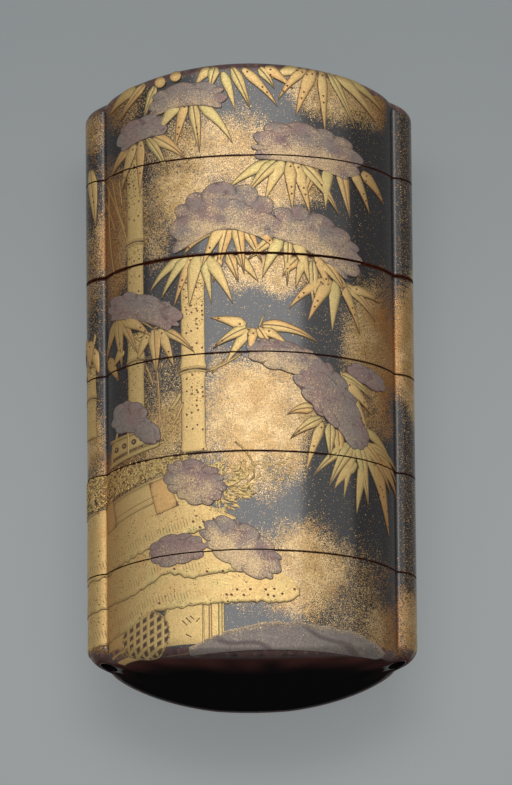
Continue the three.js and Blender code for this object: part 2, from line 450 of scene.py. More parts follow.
def dustedLacquer():
    # black lacquer under the gold dust, worn red-brown at the rims, with painted shade along the seams
    material, shader = newMaterial("dustedLacquer", Coat_Roughness=0.12, IOR=1.5)
    nodes = Nodes(material)
    where = nodes.place()
    lying, tone = goldDust(nodes, nodes.field("goldAmount"), where)
    richness = nodes.ramp(nodes.noise(where, dust["clouding"]), 0.35, 0.65)
    gold = nodes.mix(richness, dust["pale"], dust["rich"])
    # warmer, darker gold over the grooves: amber dust with painted shade
    gold = nodes.mix(nodes.field("amberAndSideShade"), gold, dust["shadedAmber"])
    gold = nodes.scaled(gold, nodes.math("MULTIPLY_ADD", tone, 0.75, 0.55))
    colour = nodes.mix(nodes.field("underside"), dust["black"], dust["undersideBlack"])
    colour = nodes.mix(lying, colour, gold)
    patchy = nodes.math("MULTIPLY_ADD", nodes.noise(where, dust["wearPatches"], 4.0), 1.2, -0.15)
    worn = nodes.ramp(nodes.math("MULTIPLY", nodes.field("rimWearAndHighlight"), patchy), 0.18, 0.5)
    spots = nodes.ramp(nodes.noise(where, dust["wearSpots"], 3.0), 0.5, 0.72)
    # paler rubbed spots, which at the foot's edge also stand for a painted highlight
    rubbed = nodes.mix(spots, dust["wear"], dust["rubbed"])
    colour = nodes.mix(nodes.math("MULTIPLY", nodes.field("footGlow"), 0.9), colour, dust["glow"])
    colour = nodes.mix(worn, colour, rubbed)
    # painted shade along the seams
    nodes.join(nodes.mix(nodes.field("seamShade"), colour, dust["seam"]), shader.inputs["Base Color"])
    left = nodes.math("MULTIPLY", lying, nodes.math("SUBTRACT", 1.0, worn))
    left = nodes.math("MULTIPLY", left, nodes.math("SUBTRACT", 1.0, nodes.field("seamShade")))
    nodes.join(nodes.math("MULTIPLY", left, 0.9), shader.inputs["Metallic"])
    nodes.join(nodes.level(left, nodes.level(worn, 0.2, 0.5), 0.42), shader.inputs["Roughness"])
    dull = nodes.math("MAXIMUM", nodes.field("underside"), nodes.field("seamShade"))
    nodes.join(nodes.math("MULTIPLY_ADD", dull, -0.5, 0.5), shader.inputs["Specular IOR Level"])
    nodes.join(nodes.math("MULTIPLY_ADD", dull, -0.35, 0.35), shader.inputs["Coat Weight"])
    nodes.bump(shader, tone, 0.00003, nodes.math("MULTIPLY", lying, 0.5))
    return material


inside = {"grain": 2600.0, "cover": 0.55, "dust": (0.62, 0.33, 0.09), "lacquer": (0.07, 0.018, 0.008)}


def innerLacquer():
    # dense amber dust in brown lacquer, on the risers and in the hollows
    material, shader = newMaterial("innerLacquer", Coat_Weight=0.6, Coat_Roughness=0.1)
    nodes = Nodes(material)
    chance, tone, _ = nodes.cells(nodes.place(), inside["grain"])
    lying = nodes.math("LESS_THAN", chance, inside["cover"])
    gold = nodes.scaled(inside["dust"], nodes.math("MULTIPLY_ADD", tone, 0.7, 0.5))
    nodes.join(nodes.mix(lying, inside["lacquer"], gold), shader.inputs["Base Color"])
    nodes.join(nodes.math("MULTIPLY", lying, 0.85), shader.inputs["Metallic"])
    nodes.join(nodes.level(lying, 0.25, 0.4), shader.inputs["Roughness"])
    return material


# the outline is partly a drawn line and partly painted shadow along the raised edge
outlineWidth = (0.14, 0.05)  # a dark outline fades out between these distances from a raised shape's edge
relief = {
    "grain": 9000.0,  # cells per metre
    "bareSpots": 8000.0,
    "stripes": 17.0,
    "dots": 1.3,
    "green": (0.74, 0.58, 0.245),
    "cream": (0.79, 0.55, 0.235),
    "peach": (0.79, 0.48, 0.195),
    "thinned": (0.06, 0.04, 0.022),
    "line": (0.085, 0.035, 0.012),
    "spot": (0.14, 0.02, 0.012),
}


def goldRelief():
    # raised gold in three tints, with dark outlines that are partly painted shadow, midribs, hatching and
    # red spots
    material, shader = newMaterial("goldRelief")
    nodes = Nodes(material)
    where = nodes.place()
    tint = nodes.field("tint")
    gold = nodes.mix(nodes.ramp(tint, 0.0, 0.5), relief["green"], relief["cream"])
    gold = nodes.mix(nodes.ramp(tint, 0.5, 1.0), gold, relief["peach"])
    grain, grainTone, _ = nodes.cells(where, relief["grain"])
    shade = nodes.math("MULTIPLY_ADD", grain, 0.30, 0.80)
    # painted shading: brighter along the middle of each leaf and bar, darker towards its edges
    middle = nodes.ramp(nodes.field("edgeGap"), 0.0, 0.6)
    gold = nodes.scaled(gold, nodes.math("MULTIPLY", shade, nodes.level(middle, 0.80, 1.07)))
    # the same amber and painted shade over the grooves, weaker on raised work
    gold = nodes.mix(nodes.math("MULTIPLY", nodes.field("amberAndSideShade"), 0.45), gold, dust["shadedAmber"])
    chance, _, _ = nodes.cells(where, relief["bareSpots"])
    bare = nodes.math("LESS_THAN", chance, nodes.field("thinned"))
    gold = nodes.mix(bare, gold, relief["thinned"])
    mapped = nodes.add("UVMap", uv_map="reliefMap").outputs[0]
    parts = nodes.add("SeparateXYZ", {0: mapped})
    aside, along = parts.outputs[0], parts.outputs[1]
    # dark outline round each raised shape, partly painted shadow
    outline = nodes.ramp(nodes.field("edgeGap"), *outlineWidth)
    rib = nodes.ramp(nodes.math("ABSOLUTE", aside), 0.11, 0.05)
    rib = nodes.math("MULTIPLY", rib, nodes.field("ribbed"))
    stripe = nodes.math("SINE", nodes.math("MULTIPLY", along, relief["stripes"]))
    hatch = nodes.math("MULTIPLY", nodes.ramp(stripe, 0.35, 0.9), nodes.field("hatched"))
    # dark red dots in some of the pattern's cells
    chance, _, distance = nodes.cells(mapped, relief["dots"], "2D", 0.8)
    chosen = nodes.math("LESS_THAN", chance, nodes.field("spotted"))
    dot = nodes.math("MULTIPLY", nodes.ramp(distance, 0.25, 0.14), chosen)
    dark = nodes.math("MAXIMUM", nodes.math("MAXIMUM", outline, rib), hatch)
    colour = nodes.mix(nodes.math("MULTIPLY", dark, 0.68), gold, relief["line"])
    colour = nodes.mix(nodes.math("MULTIPLY", dot, 0.9), colour, relief["spot"])
    nodes.join(colour, shader.inputs["Base Color"])
    drawn = nodes.math("MAXIMUM", dark, dot)
    nodes.join(nodes.level(drawn, 0.88, 0.1), shader.inputs["Metallic"])
    rough = nodes.math("MULTIPLY_ADD", grainTone, 0.16, 0.40)
    nodes.join(nodes.level(drawn, rough, 0.5), shader.inputs["Roughness"])
    nodes.bump(shader, nodes.math("SUBTRACT", grain, nodes.math("MULTIPLY", drawn, 2.0)), 0.00002, 0.35)
    return material


snow = {
    "patches": 260.0,  # cells per metre
    "shadows": 700.0,
    "grain": 9500.0,
    "mauve": (0.335, 0.220, 0.193),
    "grey": (0.32, 0.255, 0.215),
    "deep": (0.23, 0.135, 0.13),
    "drift": (0.255, 0.215, 0.186),
    "crease": (0.085, 0.045, 0.045),
    "dust": (0.74, 0.53, 0.30),
}


def snowRelief():
    # patchy mauve and grey silver with fine gold dust on it, with painted shade in its creases and a dark
    # outline that is partly painted shadow
    material, shader = newMaterial("snowRelief")
    nodes = Nodes(material)
    where = nodes.place()
    greyness = nodes.ramp(nodes.noise(where, snow["patches"]), 0.35, 0.62)
    colour = nodes.mix(greyness, snow["mauve"], snow["grey"])
    shaded = nodes.ramp(nodes.noise(where, snow["shadows"], 3.0), 0.56, 0.75)
    colour = nodes.mix(shaded, colour, snow["deep"])
    colour = nodes.mix(nodes.field("drifted"), colour, snow["drift"])
    grain, grainTone, _ = nodes.cells(where, snow["grain"])
    colour = nodes.scaled(colour, nodes.math("MULTIPLY_ADD", grain, 0.5, 0.75))
    lying, tone = goldDust(nodes, nodes.field("dusting"), where)
    gold = nodes.scaled(snow["dust"], nodes.math("MULTIPLY_ADD", tone, 0.6, 0.6))
    colour = nodes.mix(lying, colour, gold)
    line = nodes.math("MAXIMUM", nodes.field("creased"), nodes.ramp(nodes.field("edgeGap"), *outlineWidth))
    colour = nodes.mix(nodes.math("MULTIPLY", line, 0.8), colour, snow["crease"])
    nodes.join(colour, shader.inputs["Base Color"])
    nodes.join(nodes.level(line, nodes.level(lying, 0.55, 0.88), 0.1), shader.inputs["Metallic"])
    nodes.join(nodes.math("MULTIPLY_ADD", grainTone, 0.15, 0.42), shader.inputs["Roughness"])
    nodes.bump(shader, grain, 0.00003, 0.35)
    return material


engraved = {"patches": 1500.0, "dark": (0.07, 0.035, 0.018), "light": (0.16, 0.08, 0.035)}


def engravedLine():
    # dark brown lines, lighter in patches where they are rubbed
    material, shader = newMaterial("engravedLine", Roughness=0.4)
    nodes = Nodes(material)
    rubbed = nodes.ramp(nodes.noise(nodes.place(), engraved["patches"]), 0.35, 0.7)
    nodes.join(nodes.mix(rubbed, engraved["dark"], engraved["light"]), shader.inputs["Base Color"])
    return material


finishes = {
    "body": dustedLacquer(),
    "inner": innerLacquer(),
    "gold": goldRelief(),
    "snow": snowRelief(),
    "line": engravedLine(),
}
print("materials made")


# Meshes from arrays

def meshFrom(name, points, faces):
    mesh = bpy.data.meshes.new(name)
    mesh.from_pydata(points.tolist(), [], faces)
    return mesh


def paint(mesh, name, values):
    layer = mesh.attributes.new(name, "FLOAT", "POINT")
    layer.data.foreach_set("value", np.asarray(values, np.float32))


def addObject(name, data):
    made = bpy.data.objects.new(name, data)
    bpy.context.scene.collection.objects.link(made)
    return made


def faceOutwards(mesh):
    work = bmesh.new()
    work.from_mesh(mesh)
    bmesh.ops.recalc_face_normals(work, faces=work.faces)
    work.to_mesh(mesh)
    work.free()


def finishShading(mesh, angle=38):
    mesh.polygons.foreach_set("use_smooth", [True] * len(mesh.polygons))
    mesh.set_sharp_from_angle(angle=math.radians(angle))


# The six tiers

ringSteps = {
    "oval": 0.42,
    "tube": 0.24,
    "groove": 0.07,
    "tubeFrom": 22.4,  # arc lengths from the middle of the front
    "tubeTo": 32.5,
    "grooves": (23.0, 23.0 + 8.85),
    "grooveReach": 0.28,
}


def aroundSteps():
    # arc lengths round the box: even steps, finer on the tubes and finest in the four grooves
    along = np.linspace(-girth / 2, girth / 2, 4001)
    density = np.ones_like(along) / ringSteps["oval"]
    onTube = (np.abs(along) > ringSteps["tubeFrom"]) & (np.abs(along) < ringSteps["tubeTo"])
    density[onTube] = 1 / ringSteps["tube"]
    for middle in ringSteps["grooves"]:
        nearness = np.exp(-(((np.abs(along) - middle) / ringSteps["grooveReach"]) ** 2))
        density += 1 / ringSteps["groove"] * nearness
    run = np.concatenate([[0], np.cumsum((density[1:] + density[:-1]) / 2 * np.diff(along))])
    count = int(run[-1])
    return np.interp(np.linspace(0, run[-1], count, endpoint=False), run, along)


around = aroundSteps()
print("points round each tier:", len(around))


def innerRings(size, steps):
    # Rings of an inner oval wall, each point facing the outer wall's point. A step says how much wider
    # than size the ring is, and its height.
    x, y, _, _ = sectionAt(around)
    angle = np.arctan2(y / halfDepth, x / boxShape["ovalHalfWidth"])
    return [np.stack([(size[0] + wider) * np.cos(angle), np.full(len(around), up),
                      (size[1] + wider) * np.sin(angle)], -1) for wider, up in steps]


def wallRings(low, high, towards):
    # Rings up the straight wall, closest near its rims. A seam gets a small bevel. At the end of the box
    # that towards names, the wall stops where the rounded edge starts.
    bevel = boxShape["rimBevel"]
    x, y, nx, ny = sectionAt(around)
    inset = np.stack([x - nx * bevel, np.zeros(len(x)), y - ny * bevel], -1)
    wall = np.stack([x, np.zeros(len(x)), y], -1)
    rings, ups = [], []

    def ring(base, up):
        made = base.copy()
        made[:, 1] = up
        rings.append(made)
        ups.append(made[:, 1])

    start = wallLimit(around, -1) if towards < 0 else low + bevel
    stop = wallLimit(around, 1) if towards > 0 else high - bevel
    if towards >= 0:
        ring(inset, low)
    steps = np.concatenate([[0, 0.12, 0.3], np.linspace(0.6, 13.4, 30)]) / 14
    for share in np.concatenate([steps, [1 - 0.3 / 14, 1 - 0.12 / 14, 1]]):
        ring(wall, start + (stop - start) * share)
    if towards <= 0:
        ring(inset, high)
    return rings, ups


def endRings(towards):
    # from the wall's limit over the rounded edge to near the middle of the end
    x, y, _, _ = sectionAt(around)
    quarter = edgeRadius(x) * math.pi / 2
    toMiddle = np.hypot(x, y) - edgeRadius(x)
    rings, ups = [], []
    paths = [quarter * share for share in np.linspace(0, 1, 9)[1:]]
    paths += [quarter + toMiddle * share for share in (0.03, 0.08, 0.15, 0.25, 0.37, 0.5, 0.64, 0.78, 0.9)]
    for path in paths:
        place, _ = endPoint(around, path, towards)
        rings.append(place)
        ups.append(wallLimit(around, towards) + towards * path)
    return rings, ups


def lathe(rings, ups, inner, bottom, top):
    # closes a stack of rings with a point in the middle of each end
    count = len(around)
    points = np.concatenate([[[0, bottom, 0]], *rings, [[0, top, 0]]])
    index = 1 + np.arange(len(rings) * count).reshape(len(rings), count)
    after = np.roll(index, -1, axis=1)
    quads = np.stack([index[:-1], after[:-1], after[1:], index[1:]], -1).reshape(-1, 4)
    first = np.stack([np.zeros(count, int), after[0], index[0]], -1)
    last = np.stack([np.full(count, len(points) - 1), index[-1], after[-1]], -1)
    faces = first.tolist() + quads.tolist() + last.tolist()
    slots = np.repeat([inner[0], *inner[:-1], inner[-1]], count)
    across = np.concatenate([[0], np.tile(around, len(rings)), [0]])
    up = np.concatenate([ups[0][:1], *ups, ups[-1][:1]])
    return points, faces, slots, across, up


def boreCutter():
    # two long round bars where the cord channels run
    sides, beyond = 40, 20.0
    angle = np.arange(sides) / sides * math.tau
    bars, faces = [], []
    for side in (-1, 1):
        for end in (-beyond, lidEdgeUp + beyond):
            bars.append(np.stack([side * tubeCentre + boxShape["boreRadius"] * np.cos(angle),
                                  np.full(sides, end), boxShape["boreRadius"] * np.sin(angle)], -1))
    for bar in (0, 1):
        low = 2 * bar * sides
        high = low + sides
        faces += [[low + i, low + (i + 1) % sides, high + (i + 1) % sides, high + i] for i in range(sides)]
        faces += [list(range(low + sides - 1, low - 1, -1)), list(range(high, high + sides))]
    mesh = meshFrom("boreCutter", toWorld(np.concatenate(bars)), faces)
    faceOutwards(mesh)
    mesh.materials.append(finishes["body"])
    paint(mesh, "underside", np.ones(len(mesh.vertices)))  # dull black inside the channels
    return addObject("boreCutter", mesh)


def tierMesh(name):
    # rings from the middle of the underside, or of the socket's ceiling, up the outside, over the riser
    # and down into the hollow
    low = rimUp(name)
    high = None if name == "lid" else seams[tierNames.index(name) - 1] - boxShape["seamGap"]
    towards = {"lid": 1, "case_5": -1}.get(name, 0)  # the end of the box that this tier closes
    rings, ups, inner = [], [], []

    def put(more, moreUps, kind=0):
        rings.extend(more)
        ups.extend(moreUps)
        inner.extend([kind] * len(more))

    def putInner(size, steps):
        more = innerRings(boxShape[size], steps)
        put(more, [ring[:, 1] for ring in more], 1)

    if towards < 0:
        under, underUps = endRings(-1)
        put(under[::-1], underUps[::-1])
        bottom = float(endHeight(0, 0, -1))
    else:
        bottom = low + boxShape["lidCeiling" if towards > 0 else "socketDepth"]
        putInner("socket", [(-0.25, bottom), (0, bottom - 0.25), (0, low + 0.12), (0.1, low)])
    put(*wallRings(low, high, towards))
    if towards > 0:
        put(*endRings(1))
        top = float(endHeight(0, 0, 1))
    else:
        inner[-1] = 1  # the ledge round the riser
        edge = high + boxShape["riserHeight"]
        top = low + boxShape["socketDepth"] + boxShape["floorThickness"]
        if towards < 0:
            top = boxShape["footFloor"]
        putInner("riser", [(0, high), (0, edge - 0.15), (-0.15, edge)])
        putInner("hollow", [(0.15, edge), (0, edge - 0.15), (0, top + 0.6), (-0.2, top + 0.18),
                            (-0.7, top)])
    points, faces, slots, across, up = lathe(rings, ups, inner, bottom, top)
    mesh = meshFrom(name + "_lacquer", toWorld(points), faces)
    mesh.materials.append(finishes["body"])
    mesh.materials.append(finishes["inner"])
    mesh.polygons.foreach_set("material_index", slots.astype(np.int32))
    paint(mesh, "goldAmount", goldAmount(across, up))
    paint(mesh, "amberAndSideShade", amberAndSideShade(across, up))
    paint(mesh, "rimWearAndHighlight", rimWearAndHighlight(across, up))
    paint(mesh, "underside", undersideAmount(across, up))
    paint(mesh, "footGlow", footGlow(across, up))
    paint(mesh, "seamShade", seamShade(up))
    faceOutwards(mesh)
    return mesh


def makeTier(name, cutter):
    made = addObject(name + "_shell", tierMesh(name))
    cut = made.modifiers.new("cordBores", "BOOLEAN")
    cut.operation = "DIFFERENCE"
    cut.solver = "EXACT"
    cut.object = cutter
    graph = bpy.context.evaluated_depsgraph_get()
    drilled = bpy.data.meshes.new_from_object(made.evaluated_get(graph), depsgraph=graph)
    made.modifiers.clear()
    made.data = drilled
    finishShading(drilled)
    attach(made, "root")
    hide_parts(name)
    return made


cutter = boreCutter()
for name in tierNames:
    tier = makeTier(name, cutter)
    print("tier", name, len(tier.data.polygons), "faces")
bpy.data.objects.remove(cutter)


# Raised work: thin closed shells laid on the surface

patches = {"gold": [], "snow": [], "line": []}
sunk = -0.07  # how deep a shell's underside lies in the lacquer
goldFields = {"edgeGap": 9.0, "tint": 0.5, "ribbed": 0.0, "hatched": 0.0, "spotted": 0.0, "thinned": 0.0}
snowFields = {"edgeGap": 9.0, "creased": 0.0, "dusting": 0.0, "drifted": 0.0}
usualFields = {"gold": goldFields, "line": goldFields, "snow": snowFields}


def filledFields(kind, across, given):
    # Every patch of a kind carries the same fields, each as large as its grid. Raised work takes the amber
    # and painted shade towards the grooves alike at every height.
    full = {key: given.get(key, usual) * np.ones_like(across) for key, usual in usualFields[kind].items()}
    full["amberAndSideShade"] = amberAndSideShade(across, np.zeros_like(across))
    return full


def addPatch(kind, across, up, height, mapped, **given):
    # A strip of rows. Its top is the grid, its underside joins the two long borders of each row.
    rows, columns = across.shape
    top = onSurface(across, up, height)
    borders = [onSurface(across[:, c], up[:, c], np.full(rows, sunk)) for c in (0, -1)]
    grid = np.arange(rows * columns).reshape(rows, columns)
    left = rows * columns + np.arange(rows)
    right = left + rows
    quads = [np.stack([a[:-1], a[1:], b[1:], b[:-1]], -1).reshape(-1, 4)
             for a, b in [(grid[:, c], grid[:, c + 1]) for c in range(columns - 1)]
             + [(left, grid[:, 0]), (grid[:, -1], right), (right, left)]]
    ends = [[*grid[0], right[0], left[0]], [left[-1], right[-1], *grid[-1][::-1]]]
    widen = lambda value: np.concatenate([value.reshape(rows * columns, -1), value[:, 0].reshape(rows, -1),
                                          value[:, -1].reshape(rows, -1)])
    fields = {key: widen(value)[:, 0] for key, value in filledFields(kind, across, given).items()}
    patches[kind].append({"points": np.concatenate([top.reshape(-1, 3), *borders]),
                          "faces": np.concatenate(quads).tolist() + [[int(v) for v in end] for end in ends],
                          "fields": fields, "chart": widen(mapped)})


def addDisc(kind, across, up, height, mapped, **given):
    # A shell over rings of points round a middle, which is the first row. The underside has two rings.
    rings, sectors = across.shape
    lower = [rings - 1, rings // 2]
    heart = lambda lift: onSurface(across[:1, 0], up[:1, 0], lift)
    points = [heart(height[:1, 0]), onSurface(across[1:], up[1:], height[1:]).reshape(-1, 3)]
    points += [onSurface(across[r], up[r], np.full(sectors, sunk)) for r in lower]
    points = np.concatenate(points + [heart(np.full(1, sunk))])
    stacked = 1 + np.arange((rings + 1) * sectors).reshape(rings + 1, sectors)
    turned = np.roll(stacked, -1, axis=1)
    quads = np.stack([stacked[:-1], turned[:-1], turned[1:], stacked[1:]], -1).reshape(-1, 4)
    middles = np.zeros(sectors, int), np.full(sectors, len(points) - 1)
    fans = np.concatenate([np.stack([middles[0], turned[0], stacked[0]], -1),
                           np.stack([middles[1], stacked[-1], turned[-1]], -1)])

    def widen(value):
        # in the points' order: the middle, the rings, the underside's two rings and its middle
        outer = value[1:].reshape(-1, *value.shape[2:])
        return np.concatenate([value[:1, 0], outer, *value[lower], value[:1, 0]])

    fields = {key: widen(value) for key, value in filledFields(kind, across, given).items()}
    patches[kind].append({"points": points, "faces": quads.tolist() + fans.tolist(), "fields": fields,
                          "chart": widen(mapped)})


# Bamboo leaves

leafLayers = {"base": 0.04, "grounds": (0.08, 0.145), "thickness": 0.065}  # neighbours differ in height


def leafOutline(share):
    # half width along a leaf: blunt at the stalk, full at a quarter, then drawn out to a point
    body = 0.45 + 0.55 * np.sin(math.pi / 2 * np.clip(share / 0.27, 0, 1))
    return body * (1 - np.clip((share - 0.22) / 0.78, 0, 1) ** 1.18)


def addLeaf(base, heading, length, width, bend, tint, ribbed, spotted, ground):
    # The midrib turns evenly by bend over its length; the blade swells either side of a groove.
    rows, columns = 20, 9
    share = np.linspace(0.0, 0.995, rows)
    turn = math.radians(heading) + math.radians(bend) * (share - 0.35)
    step = length * np.diff(share, prepend=0)
    ribS = base[0] + np.cumsum(np.cos(turn) * step)
    ribU = base[1] + np.cumsum(np.sin(turn) * step)
    half = width / 2 * leafOutline(share) + 0.03
    side = np.linspace(-1, 1, columns)
    aside = half[:, None] * side[None]
    across = ribS[:, None] - np.sin(turn)[:, None] * aside
    up = ribU[:, None] + np.cos(turn)[:, None] * aside
    groove = 0.5 * ribbed * np.exp(-((side / 0.22) ** 2))
    swell = np.sqrt(np.clip(1 - np.abs(side) ** 2.6, 0, 1)) * (1 - groove)
    taper = np.clip(half / (0.3 * width), 0.2, 1)[:, None]
    along = (share * length)[:, None] + 0 * aside
    # a ribbed leaf's halves differ in tint, painted light and shade on its fold; the tint also shifts along
    # it
    shade = tint + ribbed * 0.15 * np.sign(side)[None] + 0.4 * (share[:, None] - 0.45)
    height = leafLayers["base"] + (ground - leafLayers["base"]) * smooth(0, 0.3, share[:, None])
    height = height + leafLayers["thickness"] * taper * swell[None]
    gap = np.minimum(half[:, None] - np.abs(aside), along + 0.03)
    addPatch("gold", across, up, height, np.stack([aside, along], -1), edgeGap=gap,
             tint=np.clip(shade, 0, 1), ribbed=ribbed, spotted=spotted)


# A spray's leaves start along a short line: its two ends as (across, up), the headings of the first and
# the last leaf, the number of leaves, and the lengths of the first, the middle and the last
sprays = [
    ((-10.9, 84.3), (-6.9, 83.8), -158, -52, 5, (4.4, 7.4, 7.9)),
    ((-17.8, 78.8), (-13.7, 79.7), -140, -34, 5, (5.0, 8.2, 6.6)),
    ((-16.6, 88.0), (-13.4, 87.4), -154, -116, 3, (5.8, 6.2, 5.0)),
    ((-5.4, 89.2), (-4.6, 89.3), -128, -100, 2, (3.6, 3.4, 3.4)),
    ((-3.6, 88.5), (-0.8, 88.9), -76, -50, 3, (6.8, 7.4, 8.0)),
    ((1.6, 89.0), (2.4, 89.1), -58, -38, 2, (3.6, 4.4, 5.4)),
    ((7.2, 89.1), (13.8, 88.7), -158, -22, 7, (4.4, 10.4, 7.8)),
    ((3.0, 74.6), (7.6, 74.5), -150, -52, 6, (7.2, 7.2, 8.6)),
    ((9.6, 74.3), (16.6, 74.6), -108, -46, 5, (5.6, 7.6, 6.0)),
    ((-4.6, 65.0), (0.8, 65.1), -140, -26, 7, (6.6, 7.8, 4.8)),
    ((-9.5, 60.6), (-6.0, 60.4), -142, -64, 6, (6.8, 8.0, 8.2)),
    ((-4.4, 60.4), (-1.6, 60.2), -104, -48, 3, (4.2, 5.0, 5.2)),
    ((3.6, 63.1), (8.4, 63.0), -142, -28, 6, (5.4, 8.6, 5.4)),
    ((6.8, 60.0), (8.9, 59.8), -128, -88, 3, (3.8, 5.0, 8.6)),
    ((9.4, 61.0), (10.4, 60.0), -66, -46, 2, (7.2, 7.0, 5.6)),
    ((10.8, 57.2), (14.6, 56.4), -146, -12, 6, (7.0, 8.8, 5.4)),
    ((-20.4, 53.1), (-19.3, 53.1), -112, -28, 4, (6.2, 7.8, 6.2)),
    ((-14.6, 50.0), (-12.3, 49.9), -116, -40, 4, (4.8, 7.8, 6.2)),
    ((-22.2, 47.9), (-19.0, 48.4), -60, -134, 2, (4.9, 4.0, 2.8)),
    ((-0.6, 49.6), (-0.4, 49.3), -194, -148, 2, (5.4, 5.4, 5.4)),
    ((-0.2, 48.9), (1.8, 49.0), -122, -32, 4, (6.4, 3.6, 4.2)),
    ((1.7, 49.7), (2.2, 49.7), -12, -12, 1, (8.2, 8.2, 8.2)),
    ((8.8, 37.4), (10.0, 36.0), -168, -148, 2, (4.2, 5.0, 5.8)),
    ((13.0, 43.0), (14.0, 40.4), -24, -56, 3, (5.8, 5.6, 7.2)),
    ((10.2, 35.4), (12.4, 34.6), -106, -84, 3, (8.2, 5.4, 6.2)),
    ((14.2, 32.7), (17.4, 33.2), -136, -16, 8, (8.0, 9.2, 6.4)),
    ((15.2, 30.0), (19.2, 31.2), -128, -44, 4, (6.2, 9.4, 5.6)),
    ((18.6, 30.8), (18.8, 30.8), -80, -80, 1, (11.6, 11.6, 11.6)),
    ((16.4, 35.4), (16.9, 34.8), -34, -34, 1, (6.8, 6.8, 6.8)),
    ((-25.3, 77.6), (-25.3, 77.6), -88, -88, 1, (9.4, 9.4, 9.4)),
    ((-26.4, 52.2), (-25.0, 50.2), -112, -74, 3, (4.2, 4.2, 4.2)),
    # the back
    ((38.0, 83.0), (42.0, 83.0), -150, -34, 5, (5.0, 7.6, 6.0)),
    ((-42.0, 72.6), (-38.0, 72.6), -150, -34, 5, (5.0, 7.6, 6.0)),
    ((39.5, 53.8), (43.5, 53.8), -146, -30, 5, (5.0, 7.0, 6.0)),
    ((-41.5, 42.8), (-37.5, 42.8), -150, -34, 5, (5.0, 7.6, 6.0)),
    ((36.5, 26.8), (40.5, 26.8), -146, -30, 5, (5.0, 7.0, 6.0)),
]
# Leaves of seven kinds: the tint, whether the midrib shows and how thickly spotted
leafKinds = [(0.15, 0, 0.0), (0.75, 1, 0.0), (0.35, 0, 0.0), (0.8, 0, 0.4), (0.45, 1, 0.1), (0.65, 0, 0.2),
             (0.25, 1, 0.0)]


def addSprays():
    rng = np.random.default_rng(11)
    for first, last, heading, lastHeading, count, lengths in sprays:
        shares = np.linspace(0, 1, count) if count > 1 else np.array([0.0])
        for number, share in enumerate(shares):
            lean = heading + (lastHeading - heading) * share + rng.uniform(-5, 5)
            length = float(np.interp(share, [0, 0.5, 1], lengths)) * rng.uniform(0.93, 1.07)
            base = (first[0] + (last[0] - first[0]) * share,
                    first[1] + (last[1] - first[1]) * share + 0.35 * math.sin(math.pi * share))
            droop = -34 * math.cos(math.radians(lean)) * rng.uniform(0.5, 1.2)
            tint, ribbed, spotted = leafKinds[rng.integers(len(leafKinds))]
            addLeaf(base, lean, length, rng.uniform(1.35, 2.0), droop, tint, ribbed, spotted,
                    leafLayers["grounds"][number % 2])


addSprays()
print("leaves:", len(patches["gold"]))


# Stems, twigs and timbers

flareReach = 0.9


def addStroke(start, stop, width, bow=0.0, ground=0.02, lift=0.1, taper=0.4, flare=0.0, kind="gold",
              **given):
    # A rounded ridge from start to stop along a parabola that bow pushes sideways at its middle. It may
    # taper, and may flare at both ends as bamboo does at its joints.
    ds, du = stop[0] - start[0], stop[1] - start[1]
    size = math.hypot(ds, du)
    share = np.linspace(0, 1, max(5, int(size / 0.5)))
    off = 4 * bow * share * (1 - share)
    s = start[0] + ds * share - du / size * off
    u = start[1] + du * share + ds / size * off
    heading = np.arctan2(np.gradient(u), np.gradient(s))[:, None]
    side = np.linspace(-1, 1, 9 if width > 0.8 else 5)[None]
    fromStart, fromStop = share * size / flareReach, (1 - share) * size / flareReach
    nearEnd = np.exp(-(fromStart**2)) + np.exp(-(fromStop**2))
    half = (width / 2 * (1 - taper * share) * (1 + flare * nearEnd))[:, None]
    aside = half * side
    along = (share * size)[:, None] + 0 * aside
    gap = np.minimum(half - np.abs(aside), np.minimum(along, size - along))
    gap = gap + (0.05 if width < 0.5 else 0.0)  # a thin twig keeps gold between its outlines
    if "thinned" in given:
        given["thinned"] = given["thinned"] * smooth(0.2, 1.0, along / size)
    height = ground + (lift - ground) * np.sqrt(np.clip(1 - side**2 * 0.96, 0, 1)) + 0 * aside
    addPatch(kind, s[:, None] - np.sin(heading) * aside, u[:, None] + np.cos(heading) * aside, height,
             np.stack([aside + 3.0, along], -1), edgeGap=gap, **given)


# Bamboo stems: across, the joints' heights from the lowest up, width, tint, how thickly spotted, and how
# much of the last length's gold is bare
stems = [
    (-8.1, (30.9, 43.3, 60.3), 3.5, 0.55, 0.32, 0.15),
    (-16.8, (37.4, 46.0, 50.4), 2.75, 0.36, 0.0, 0.25),
    (-16.8, (52.6, 64.1, 79.0), 2.75, 0.36, 0.2, 0.25),
    (-25.6, (36.6, 42.6, 48.0), 2.2, 0.5, 0.0, 0.25),
    (45.9, (34.0, 52.0, 70.0), 2.9, 0.5, 0.3, 0.25),
]
# A joint's two arched ridges and the dark line between them: height, width, reach in half stems, kind
jointLines = [(0.28, 0.36, 1.12, "gold"), (-0.28, 0.36, 1.2, "gold"), (0.0, 0.14, 1.14, "line")]


def addStems():
    for s, joints, stemWidth, tint, spotted, thinned in stems:
        half = stemWidth / 2
        for low, high in zip(joints, joints[1:]):
            bare = thinned if high == joints[-1] else 0.05
            addStroke((s, low), (s, high), stemWidth, lift=0.065, taper=0.02, flare=0.15, tint=tint,
                      spotted=spotted, thinned=bare)
        for joint in joints[1:-1]:
            for rise, width, reach, kind in jointLines:
                u = joint + rise - 0.2
                addStroke((s - half * reach, u), (s + half * reach, u), width, bow=0.42, ground=0.05,
                          lift=0.09, taper=0, kind=kind, tint=tint)


